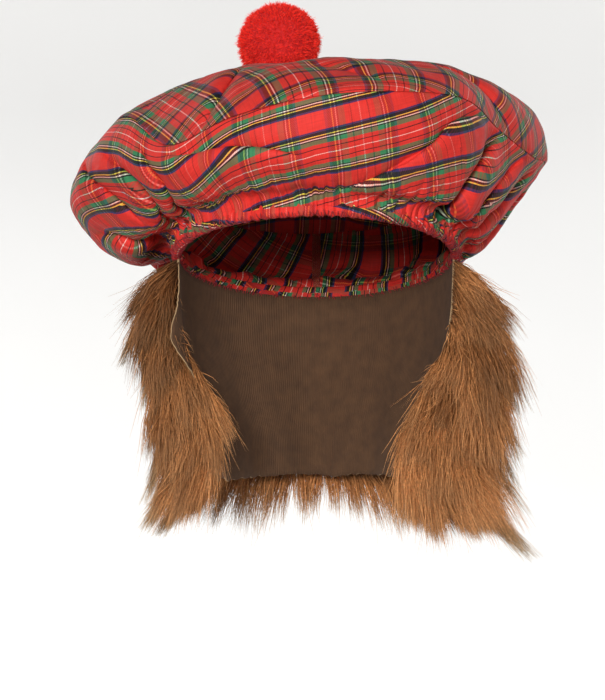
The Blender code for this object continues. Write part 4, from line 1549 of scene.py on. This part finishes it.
@dataclass
class Rim:
    """The hem with its elastic: a puckered tube round the head opening, overlocked at its edge."""

    shape: CapShape
    columns: int = 1144
    gathers: Gathers = Gathers()
    pucker_depth: float = 1.7 * MM
    sides: int = 12
    squareness: float = 0.75
    stitches: int = 330
    band_length: float = 0.087
    grain: BandGrain = BandGrain()
    finish: TartanCloth = field(default_factory=TartanCloth)

    def casing(self) -> tuple[Array, Array]:
        """Makes the tube's surface.

        Returns:
            Its points in the cap frame, and its columns' azimuths.
        """
        azimuths = np.arange(self.columns) * 360.0 / self.columns
        shallow = self.pucker_depth * self.gathers.wave(azimuths)
        angle = np.linspace(0.0, 2 * math.pi, self.sides + 1)[:-1]
        inner = self.shape.opening_radius(azimuths)
        depth, height = self.shape.casing_depth, self.shape.casing_height
        rows = []
        for turn in angle:
            out = 0.5 - 0.5 * math.copysign(abs(math.cos(turn)) ** self.squareness, math.cos(turn))
            up = 0.5 + 0.5 * math.copysign(abs(math.sin(turn)) ** self.squareness, math.sin(turn))
            radius = inner + out * (depth - shallow * 0.8) + 0.2 * MM
            level = up * height + (1.0 - up) * shallow * 0.6
            rows.append(self.shape.polar(azimuths, radius, 0.0) + level[:, None] * np.array([0, 0, 1.0]))
        return np.stack(rows + rows[:1], axis=1)[:, ::-1], azimuths

    def build(self) -> None:
        """Makes the casing."""
        grid, azimuths = self.casing()
        length = np.concatenate([[0.0], np.cumsum(np.linalg.norm(np.diff(grid[0], axis=0), axis=1))])
        from_seam = self.band_length + length[None, :] + 0.0 * azimuths[:, None]
        casing = object_from_grid(
            "rim_casing_cloth", self.shape.worn(grid), self.grain.pattern(azimuths, from_seam)
        )
        weld(casing)
        # The casing's colour is darkened a little as painted shade at the hem.
        casing.data.materials.append(self.finish.build("cotton_tartan_casing", 0.95))
        finish_piece(casing, Slot.TARTAN, "elastic_casing")
        self.build_overlock(azimuths)

    def build_overlock(self, azimuths: Array) -> None:
        """Makes the thread that wraps the hem's lower edge.

        Args:
            azimuths: The edge's points, in degrees.
        """
        rise = self.pucker_depth * self.gathers.wave(azimuths) * 0.6
        middle = self.shape.opening_radius(azimuths) + 0.5 * self.shape.casing_depth
        line = self.shape.polar(azimuths, middle, 0.0) + rise[:, None] * np.array([0, 0, 1.0])
        mesh = bpy.data.meshes.new("rim_overlock")
        here = np.arange(len(azimuths))
        edges = np.stack([here, (here + 1) % len(azimuths)], axis=-1)
        mesh.from_pydata(self.shape.worn(line).tolist(), edges.tolist(), [])
        edge = add_object("rim_overlock", mesh)
        thread = SewingThread().build("polyester_overlock_thread")
        overlock = StitchTree("overlock").sew(edge, count=self.stitches, seed=5, material=thread)
        finish_piece(overlock, Slot.TARTAN, "elastic_casing")


class StitchTree:
    """A Geometry Nodes tree that wraps an edge in overlock stitches.

    The edge is a closed line of points. Each stitch is a loop of thread that runs from the outer
    face under the edge to the inner face, slanting along it. In the loop's points X runs outwards,
    Y down and Z along the edge.
    """

    INPUTS = {
        "Count": 300, "Thread": 0.00026, "Uneven": 0.25, "Seed": 1, "Material": None,
    }
    LOOP = {
        "Start": (0.0028, -0.0026, -0.0008),
        "Start Handle": (0.0030, 0.0011, -0.0008),
        "End Handle": (-0.0030, 0.0011, 0.0008),
        "End": (-0.0028, -0.0024, 0.0006),
    }

    def __init__(self, name: str) -> None:
        """Builds the tree.

        Args:
            name: Its name.
        """
        self.tree = tree = new_geometry_tree(name, self.INPUTS)
        given = add_node(tree, "NodeGroupInput").outputs
        edge = result(tree, "GeometryNodeMeshToCurve", given["Geometry"])
        edge = result(tree, "GeometryNodeSetCurveNormal", edge, mode="Z_UP")
        places = add_node(tree, "GeometryNodeCurveToPoints", {"Curve": edge, "Count": given["Count"]})
        loop = add_node(tree, "GeometryNodeCurvePrimitiveBezierSegment", {"Resolution": 6, **self.LOOP})
        ring = result(tree, "GeometryNodeCurvePrimitiveCircle", 4, given["Thread"])
        thread = result(tree, "GeometryNodeCurveToMesh", loop.outputs["Curve"], ring)
        least = result(tree, MATHS, 1.0, given["Uneven"], operation="SUBTRACT")
        most = result(tree, MATHS, 1.0, given["Uneven"], operation="ADD")
        size = result(tree, "FunctionNodeRandomValue", least, most, 0, given["Seed"], data_type="FLOAT")
        inputs = {
            "Points": places.outputs["Points"],
            "Instance": thread,
            "Rotation": places.outputs["Rotation"],
            "Scale": size,
        }
        stitches = add_node(tree, "GeometryNodeInstanceOnPoints", inputs).outputs["Instances"]
        stitches = result(tree, "GeometryNodeRealizeInstances", stitches)
        done = result(tree, "GeometryNodeSetMaterial", stitches, True, given["Material"])
        add_node(tree, "NodeGroupOutput", {0: done})

    def sew(self, edge: Item, **values: Any) -> Item:
        """Replaces an edge line by its stitches; values are the tree's inputs in lower case."""
        return run_tree(edge, self.tree, values)


@dataclass(frozen=True)
class SewingThread:
    """Polyester overlock thread in the cloth's red, slightly glossy."""

    colour: str = "#8c141c"

    def build(self, name: str) -> Material:
        """Makes the thread."""
        material, tree, shader = new_material(name)
        feed(tree, shader, {"Base Color": linear_colour(self.colour), "Roughness": 0.7})
        return material


@dataclass
class Pompom:
    """A ball of cut yarn: a soft core with short fibres standing out of it, in small yarn ends."""

    shape: CapShape
    radius: float = 0.0243
    seat: float = 0.0006
    fibre: float = 2.0 * MM
    droop: float = 0.15 * MM
    rough: float = 0.7 * MM
    tuft_size: float = 6 * MM
    small_tuft: float = 2.2 * MM
    strands: float = 2.6e6
    yarn_ends: float = 4.0e5
    # The darker root colour is painted shade inside the ball.
    finish: PileFibre = PileFibre("#df231e", "#f8352b", "#fb3d31", "#fc4836", 0.85, 0.08, 0.16, 0.3)

    def ball(self, name: str, detail: int) -> Item:
        """A round body with shallow tufts, in its place on the crown.

        Args:
            name: The piece's name.
            detail: How often its faces are split.

        Returns:
            The object.
        """
        radius = self.radius - self.fibre
        rest = np.array(self.shape.centre) + np.array([0.0, 0.0, self.radius + self.seat])
        centre = Vector(self.shape.worn(rest[None, :])[0])
        ball = bmesh.new()
        bmesh.ops.create_icosphere(ball, subdivisions=detail, radius=radius)
        for vert in ball.verts:
            tuft = noise.noise(vert.co / self.tuft_size) + 0.5 * noise.noise(vert.co / self.small_tuft)
            vert.co = centre + vert.co * (1.0 + self.rough / radius * tuft)
        mesh = bpy.data.meshes.new(name)
        ball.to_mesh(mesh)
        ball.free()
        mesh.shade_smooth()
        return add_object(name, mesh)

    def build(self, tree: PileTree) -> None:
        """Makes the core and the fibres.

        Args:
            tree: The tree that grows them.
        """
        material = self.finish.build("acrylic_yarn_red")
        core = self.ball("pompom_core", 5)
        core.data.materials.append(YarnCore().build("acrylic_yarn_core"))
        finish_piece(core, Slot.YARN, "pompom")
        bed = self.ball("pompom_yarn", 4)
        count = len(bed.data.vertices)
        normals = np.empty(count * 3, np.float32)
        bed.data.vertices.foreach_get("normal", normals)
        facts = {
            "out": normals,
            "comb": np.zeros(count * 3),
            "reach": np.full(count, self.fibre),
            "drop": np.full(count, self.droop),
            "fullness": np.ones(count),
        }
        store(bed.data, facts)
        bed = tree.grow_on(
            bed, strands=self.strands, tufts=self.yarn_ends, points=3, width=0.32 * MM, clump=0.30,
            uneven=0.20, splay=1.0 * MM, stray=0.7 * MM, frizz=0.9 * MM, seed=3, material=material,
        )
        finish_piece(bed, Slot.YARN, "pompom")


class FurStyle(NamedTuple):
    """How a stretch of the hair grows: in tight locks, or as an even fluff.

    Tufts is their number on a square metre. Clump is how far a tuft's strands meet at its tip,
    loft how far their reach differs, uneven how far the tufts differ, splay and stray how far
    tufts and strands wander, in metres, pale how much the tips have faded, and lift 1 for strands
    that stand straight out and more for strands that bend down.
    """

    tufts: float
    clump: float
    loft: float
    uneven: float
    splay: float
    stray: float
    pale: float
    lift: float


class FurPanel(NamedTuple):
    """A stretch of the hair that grows as one piece, between two shares of the way round."""

    name: str
    start: float
    end: float
    strands: int
    style: FurStyle
    seed: int


FLUFF = FurStyle(2.4e4, 0.40, 0.75, 0.28, 0.0065, 0.0042, 0.25, 1.6)
LOCKS = FurStyle(1.0e4, 0.92, 0.22, 0.40, 0.0055, 0.0018, 0.80, 1.05)
REAR = FurStyle(2.4e4, 0.42, 0.40, 0.22, 0.0040, 0.0034, 0.50, 1.6)


@dataclass
class Hair:
    """The faux-fur hair: a knitted backing from one side round the back to the other, and its pile.

    The pile's strands stand on an under-layer, which lies part of the way out through the pile
    and turns in to the backing at the two free edges, so that the hair faces forward there. The
    kink is where the turned edge bows sideways. Closing is where the under-layer starts to draw
    in below, and close_share how far it does. Painted light and shade make the lower strands
    lighter and the upper ones darker, and dim makes them darker towards the top on the left.
    """

    shape: CapShape
    start: float = 86.0
    end: float = 274.0
    top_inset: float = 0.9 * MM
    top_overlap: float = 2.5 * MM
    side_share: float = 0.38
    backing_share: float = 0.81
    backing_wall: float = 1.2 * MM
    drape: float = 2.2 * MM
    drape_folds: float = 6.0
    full_tips: float = 2.4
    edge_wall: float = 0.6 * MM
    edge_forward: float = 0.017
    edge_low: float = -0.074
    edge_kink: float = 7 * MM
    kink_height: float = -0.043
    kink_reach: float = 0.014
    low_start: float = -0.045
    low_span: float = 0.055
    bed_share: float = 0.46
    outer_right: float = 0.80
    outer_left: float = 0.72
    outer_low: float = 0.16
    corner: float = 6.0
    cap_columns: int = 14
    bed_columns: int = 150
    bed_rows: int = 40
    closing: float = 0.62
    close_share: float = 0.70
    comb_share: float = 0.7
    cap_short: float = 0.48
    comb_out: float = 0.008
    edge_reach: float = 0.013
    edge_inset: float = 0.012
    longest: float = 0.036
    top_fall: float = 0.026
    tip_right: float = -0.166
    tip_left: float = -0.153
    rise_right: float = 0.032
    rise_left: float = 0.040
    # Painted light and shade: the strands are painted lighter low down and darker high up.
    painted_light_low: float = 0.66
    painted_light_rise: float = 1.5
    painted_light_level: float = 0.38
    dim_left: float = 0.55
    dim_fall: float = 0.6
    panels: tuple[FurPanel, ...] = (
        FurPanel("fur_right_front", 0.0, 0.085, 23500, FLUFF, 21),
        FurPanel("fur_right", 0.085, 0.30, 18500, LOCKS, 22),
        FurPanel("fur_back_right", 0.30, 0.5, 8500, REAR, 23),
        FurPanel("fur_back_left", 0.5, 0.70, 8500, REAR, 24),
        FurPanel("fur_left", 0.70, 0.915, 17500, LOCKS, 25),
        FurPanel("fur_left_front", 0.915, 1.0, 22500, FLUFF, 26),
    )
    # The dark root colour is painted shade deep in the pile.
    finish: PileFibre = PileFibre("#50321e", "#985f34", "#c2834e", "#b8a682", 0.65, 0.18, 0.42, 0.85)

    @staticmethod
    def read_levels(heights: Array) -> dict[str, Array]:
        """Reads the level table, eased between its rows.

        Args:
            heights: The heights at which it is read.

        Returns:
            Its columns there, by name.
        """
        rows = FUR_LEVELS[::-1]
        place = np.array([row.z for row in rows])
        index = np.clip(np.searchsorted(place, heights, side="right") - 1, 0, len(rows) - 2)
        share = np.clip((heights - place[index]) / (place[index + 1] - place[index]), 0.0, 1.0)
        ease = 0.5 * share + 0.5 * eased(share)
        found = {}
        for column in FurLevel._fields[1:]:
            data = np.array([getattr(row, column) for row in rows])
            found[column] = data[index] * (1.0 - ease) + data[index + 1] * ease
        return found

    def outward(self, azimuths: Array) -> Array:
        """Horizontal outward direction of the hair at each azimuth."""
        angle = np.radians(azimuths)
        across, along = np.sin(angle) / self.shape.half_width, -np.cos(angle) / self.shape.half_depth
        return unit(np.stack([across, along, 0.0 * angle], axis=-1))

    def upper_edge(self, azimuths: Array) -> Array:
        """Upper edge of the backing, just under the hem."""
        opening = self.shape.opening_radius(azimuths) + self.top_inset
        return self.shape.worn(self.shape.polar(azimuths, opening, -self.shape.gap))

    def backing_point(self, azimuths: Array, heights: Array) -> Array:
        """Inner face of the backing at each column's azimuth and each point's height."""
        top = self.upper_edge(azimuths)[:, None]
        level = self.read_levels(heights)
        return np.stack([top[..., 0] * level["width"], top[..., 1] * level["depth"], heights], axis=-1)

    def pile(self, azimuths: Array, heights: Array) -> Array:
        """Full depth of the pile, read between the two sides and the back.

        Args:
            azimuths: The columns' azimuths.
            heights: The points' heights.

        Returns:
            The depth at each point.
        """
        level = self.read_levels(heights)
        across = (azimuths - self.start) / (self.end - self.start)
        side = np.clip((0.5 - across) / self.side_share, -1.0, 1.0)[:, None]
        back = level["pile_back"]
        right = (level["pile_right"] - back) * np.maximum(side, 0.0)
        left = (level["pile_left"] - back) * np.maximum(-side, 0.0)
        return back + right + left

    def build_backing(self) -> None:
        """Makes the knitted backing, in soft waves, with its pale cut edge."""
        azimuths = np.linspace(self.start, self.end, 150)
        top = self.upper_edge(azimuths)[:, 2:]
        shares = np.linspace(0.0, 1.0, 28)[None, :]
        uneven = 1.0 + 0.012 * smooth_noise(azimuths, 30, 8) + 0.006 * smooth_noise(azimuths, 150, 9)
        low = FUR_LEVELS[-1].z * self.backing_share * uneven[:, None]
        heights = top + self.top_overlap + (low - top) * shares
        grid = self.backing_point(azimuths, heights)
        turn = (azimuths[:, None] - self.start) / (self.end - self.start)
        wave = np.sin(2.0 * math.pi * turn * self.drape_folds + 1.5 * shares)
        held = np.sin(np.pi * np.clip(turn, 0.0, 1.0)) ** 2
        grid += self.outward(azimuths)[:, None] * (self.drape * wave * held * shares**0.8)[..., None]
        around = np.concatenate([[0.0], np.cumsum(np.linalg.norm(np.diff(grid[:, 0], axis=0), axis=1))])
        pattern = np.stack([np.broadcast_to(around[:, None], grid.shape[:2]), grid[..., 2]], axis=-1)
        backing = object_from_grid("fur_backing", grid[:, ::-1], pattern[:, ::-1], closed=False)
        names = "knitted_polyester_backing", "knitted_polyester_cut_edge"
        self.thicken(backing, self.backing_wall, 1.0, *names)

    def thicken(self, item: Item, wall: float, offset: float, face: str, edge: str) -> None:
        """Makes a surface a wall of knitted backing.

        Args:
            item: The surface; it becomes the piece.
            wall: The wall's thickness.
            offset: 1 for a wall on the surface's outer side, 0 for one on both.
            face: The name of its face's material.
            edge: The name of its cut edge's.
        """
        knit = KnitBacking()
        item.data.materials.append(knit.build(face))
        item.data.materials.append(knit.build_edge(edge))
        solid = item.modifiers.new("knit", "SOLIDIFY")
        solid.thickness = wall
        solid.offset = offset
        solid.material_offset_rim = 1
        finish_piece(make_plain(item), Slot.FUR, "hair_curtain")

    def build_turned_edge(self) -> None:
        """Makes the stretch of backing that turns forward at the -X side, with its pale cut edge."""
        heights = np.linspace(-0.002, self.edge_low, 70)
        line = self.backing_point(np.array([self.end]), heights[None, :])[0]
        kink = self.edge_kink * np.exp(-(((heights - self.kink_height) / self.kink_reach) ** 2))
        kink += 0.3 * MM * smooth_noise(heights * 4000.0, 60, 31)
        forward = np.interp(heights, (self.edge_low, -0.058, -0.018, -0.002), (0.25, 1.0, 1.0, 0.4))
        across = np.linspace(0.0, 1.0, 6)[:, None]
        grid = np.broadcast_to(line, (6, *line.shape)).copy()
        grid[..., 0] -= across**1.5 * kink
        grid[..., 1] -= across * forward * self.edge_forward
        pattern = np.stack([across * self.edge_forward + 0.0 * heights, grid[..., 2]], axis=-1)
        edge = object_from_grid("fur_turned_edge", grid, pattern, closed=False)
        names = "knitted_polyester_turned_edge", "polyester_thread_ends"
        self.thicken(edge, self.edge_wall, 0.0, *names)

    def columns(self) -> tuple[Array, Array]:
        """Places the under-layer's columns.

        Returns:
            Each one's azimuth, and how far out through the pile it lies.
        """
        turn = np.linspace(0.0, 1.0, self.cap_columns, endpoint=False)
        cap_azimuth = self.start + self.corner * turn**2
        cap_share = np.sin(0.5 * math.pi * turn)
        middle = np.linspace(self.start + self.corner, self.end - self.corner, self.bed_columns)
        azimuths = np.concatenate([cap_azimuth, middle, (self.start + self.end - cap_azimuth)[::-1]])
        return azimuths, np.concatenate([cap_share, np.ones(len(middle)), cap_share[::-1]])

    def lowness(self, heights: Array) -> Array:
        """How low each height lies, from 0 at the sides' upper part to 1 at the lower."""
        return np.clip((self.low_start - heights) / self.low_span, 0.0, 1.0)

    def bed_point(self, azimuths: Array, shares: Array, heights: Array) -> Array:
        """Points of the under-layer at the given heights.

        Args:
            azimuths: The columns' azimuths.
            shares: How far out through the pile each point lies, 1 on the plain stretch.
            heights: The points' heights.

        Returns:
            The points.
        """
        turned = np.minimum(shares, 1.0)[:, :1]
        depth = shares * self.bed_share * self.pile(azimuths, heights)
        depth = depth - (1.0 - turned) * self.edge_inset * self.lowness(heights)
        return self.backing_point(azimuths, heights) + self.outward(azimuths)[:, None] * depth[..., None]

    def bed(self) -> dict[str, Array]:
        """Lays the under-layer and works out how a strand grows on each of its points.

        Returns:
            The points and, by the names of the pile tree's attributes, what the strands need.
        """
        azimuths, turned = self.columns()
        across = np.linspace(0.0, 1.0, len(azimuths))
        tip = self.tip_right + (self.tip_left - self.tip_right) * across
        down = np.linspace(0.0, 1.0, self.bed_rows)[None, :]
        top = self.upper_edge(azimuths)[:, 2:]
        rise = self.rise_right + (self.rise_left - self.rise_right) * across
        lowest = tip + self.longest + rise * (1.0 - turned) ** 1.5
        heights = top + (lowest[:, None] - top) * down
        close = np.clip((down - self.closing) / (1.0 - self.closing), 0.0, 1.0)
        shares = turned[:, None] * (1.0 - self.close_share * eased(close))
        points = self.bed_point(azimuths, shares, heights)
        fall = self.top_fall + (self.longest - self.top_fall) * np.clip(down / 0.3, 0.0, 1.0)
        fall = fall * (1.0 - self.cap_short * (1.0 - turned[:, None] ** 2) * (1.0 - close))
        end_shares = self.comb_share * shares + (1.0 - self.comb_share) * turned[:, None]
        ends = self.bed_point(azimuths, end_shares, heights - fall)
        comb = (ends - points) * np.array([1.0, 1.0, 0.0])
        away = self.comb_out * (1.0 - turned[:, None]) * (1.0 - self.lowness(heights))
        comb += self.outward(azimuths)[:, None] * away[..., None]
        around, along = unit(np.gradient(points, axis=0)), unit(np.gradient(points, axis=1))
        normal = unit(np.cross(around, along) * np.array([1.0, 1.0, 0.0]))
        normal *= np.sign((normal[len(normal) // 2, 0] * self.outward(np.array([180.0]))[0]).sum())
        outer = (self.outer_right + (self.outer_left - self.outer_right) * across)[:, None]
        outer = outer - self.outer_low * (1.0 - across)[:, None] * down**3
        beyond = (outer - self.bed_share * shares) * self.pile(azimuths, heights - fall)
        reach = self.edge_reach + (beyond - self.edge_reach) * (turned[:, None] ** 2)
        # Painted light and shade make the strands lighter low down and darker high up; dim_left makes them
        # darker towards the top on the left.
        painted_light = self.painted_light_low * (down**self.painted_light_rise - self.painted_light_level)
        painted_light = painted_light - self.dim_left * across[:, None] * (1.0 - down) ** self.dim_fall
        return {"points": points, "out": normal, "reach": reach, "drop": fall, "comb": comb, "painted_light": painted_light}

    def build_underlayer(self, bed: dict[str, Array]) -> None:
        """Makes the dense short pile under the strands."""
        grid = bed["points"] - bed["out"] * 1.5 * MM
        layer = object_from_grid("fur_underlayer", grid, closed=False)
        layer.data.materials.append(UnderFur().build("modacrylic_underfur"))
        finish_piece(layer, Slot.FUR, "hair_curtain")

    def build_panel(self, panel: FurPanel, bed: dict[str, Array], tree: PileTree, material: Material) -> None:
        """Grows the strands of one stretch of the under-layer.

        Args:
            panel: The stretch.
            bed: The under-layer, with what its strands need.
            tree: The tree that grows them.
            material: Their material.
        """
        last = len(bed["points"]) - 1
        part = slice(round(panel.start * last), round(panel.end * last) + 1)
        facts = {name: bed[name][part] for name in ("out", "reach", "drop", "comb", "painted_light")}
        down = np.linspace(0.0, 1.0, self.bed_rows)
        fuller = 1.0 + self.full_tips * np.clip((down - 0.8) / 0.2, 0.0, 1.0)
        facts["fullness"] = np.broadcast_to(fuller / fuller.mean(), facts["reach"].shape)
        surface = object_from_grid(panel.name, bed["points"][part], closed=False, attributes=facts)
        area = sum(face.area for face in surface.data.polygons)
        strands = tree.grow_on(
            surface, strands=panel.strands / area, points=4, width=0.40 * MM, mottle=1.6,
            frizz=5.2 * MM, sag=1.2, **panel.style._asdict(), seed=panel.seed, material=material,
        )
        finish_piece(strands, Slot.FUR, "hair_curtain")

    def build(self, tree: PileTree) -> None:
        """Makes the backing, the under-layer and the strands.

        Args:
            tree: The tree that grows them.
        """
        self.build_backing()
        self.build_turned_edge()
        bed = self.bed()
        self.build_underlayer(bed)
        material = self.finish.build("modacrylic_fur_ginger")
        for panel in self.panels:
            self.build_panel(panel, bed, tree, material)


@dataclass
class Studio:
    """The camera at the photograph's angle, soft light and a pale floor that curves up all round."""

    distance: float = 1.5
    aim: tuple[float, float] = (-0.0078, -0.051)
    lens: float = 133.5
    floor: float = -0.60
    floor_patch: float = 333.3 * MM
    flat: float = 2.4
    cove: float = 1.0
    height: float = 3.4
    key: float = 30.0
    fill: float = 4.6
    rear: float = 11.0
    wash: float = 255.0
    ambient: float = 0.17

    def area(self, name: str, place: tuple[float, float, float], size: float, power: float) -> Item:
        """A square soft light that faces the cap.

        Args:
            name: The light's name.
            place: Where it stands.
            size: Its side, in metres.
            power: Its power, in watts.

        Returns:
            The light.
        """
        light = bpy.data.lights.new(name, "AREA")
        light.size = size
        light.energy = power
        item = add_object(name, light)
        item.location = place
        item.rotation_euler = (-Vector(place)).to_track_quat("-Z", "Y").to_euler()
        item.visible_camera = False
        return item

    def build(self) -> None:
        """Makes the camera, the lights, the floor and the world."""
        scene = bpy.context.scene
        camera = bpy.data.cameras.new("camera")
        camera.lens = self.lens
        camera.sensor_width = 36.0
        scene.camera = item = add_object("camera", camera)
        item.location = (self.aim[0], -self.distance, self.aim[1])
        item.rotation_euler = (math.pi / 2, 0.0, 0.0)
        self.area("key_softbox", (-0.35, -1.75, 0.28), 0.40, self.key)
        self.area("fill_softbox", (1.1, -1.3, 0.05), 0.8, self.fill)
        for name, side in (("rear_softbox_right", 1.0), ("rear_softbox_left", -1.0)):
            self.area(name, (side * 1.5, 1.25, 0.75), 1.1, self.rear)
        wash = self.area("floor_wash", (0.0, 0.0, 3.0), 5.0, self.wash)
        lit = bpy.data.collections.new("lit_by_floor_wash")
        lit.objects.link(self.floor_cove())
        wash.light_linking.receiver_collection = lit
        world = bpy.data.worlds.new("studio")
        scene.world = world
        world.use_nodes = True
        sky = {"Color": (1.0, 1.0, 1.0, 1.0), "Strength": self.ambient}
        feed(world.node_tree, world.node_tree.nodes["Background"], sky)
        scene.view_settings.view_transform = "Standard"
        scene.view_settings.look = "None"

    def floor_cove(self) -> Item:
        """Makes the floor.

        Returns:
            A round pale floor that curves up into a wall.
        """
        bend = np.linspace(0.0, math.pi / 2, 16)
        radius = np.concatenate([[1e-5, 1.2], self.flat + self.cove * np.sin(bend)])
        radius = np.append(radius, radius[-1])
        level = np.concatenate([[0.0, 0.0], self.cove * (1.0 - np.cos(bend)), [self.height]]) + self.floor
        angle = np.linspace(0.0, 2 * math.pi, 97)[:-1]
        grid = np.stack(
            [
                radius[None, :] * np.cos(angle)[:, None],
                radius[None, :] * np.sin(angle)[:, None],
                np.broadcast_to(level[None, :], (len(angle), len(level))),
            ],
            axis=-1,
        )
        floor = object_from_grid("floor", grid[:, ::-1])
        material, tree, shader = new_material("matt_paper_floor")
        place = add_node(tree, "ShaderNodeTexCoord").outputs["Object"]
        grain = result(tree, NOISE, place, 1.0 / self.floor_patch, 2.0)
        tone = result(tree, MIXED, grain, linear_colour("#f1f0ee"), linear_colour("#f7f6f4"))
        feed(tree, shader, {"Base Color": tone, "Roughness": 0.9})
        floor.data.materials.append(material)
        floor.visible_diffuse = False
        return floor


def main() -> None:
    """Builds the cap piece by piece."""
    logging.basicConfig(level=logging.INFO, format="%(message)s")
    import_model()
    shape = CapShape()
    Crown(shape).build()
    Rim(shape).build()
    pile = PileTree("pile")
    Pompom(shape).build(pile)
    Hair(shape).build(pile)
    Studio().build()


if __name__ == "__main__":
    main()
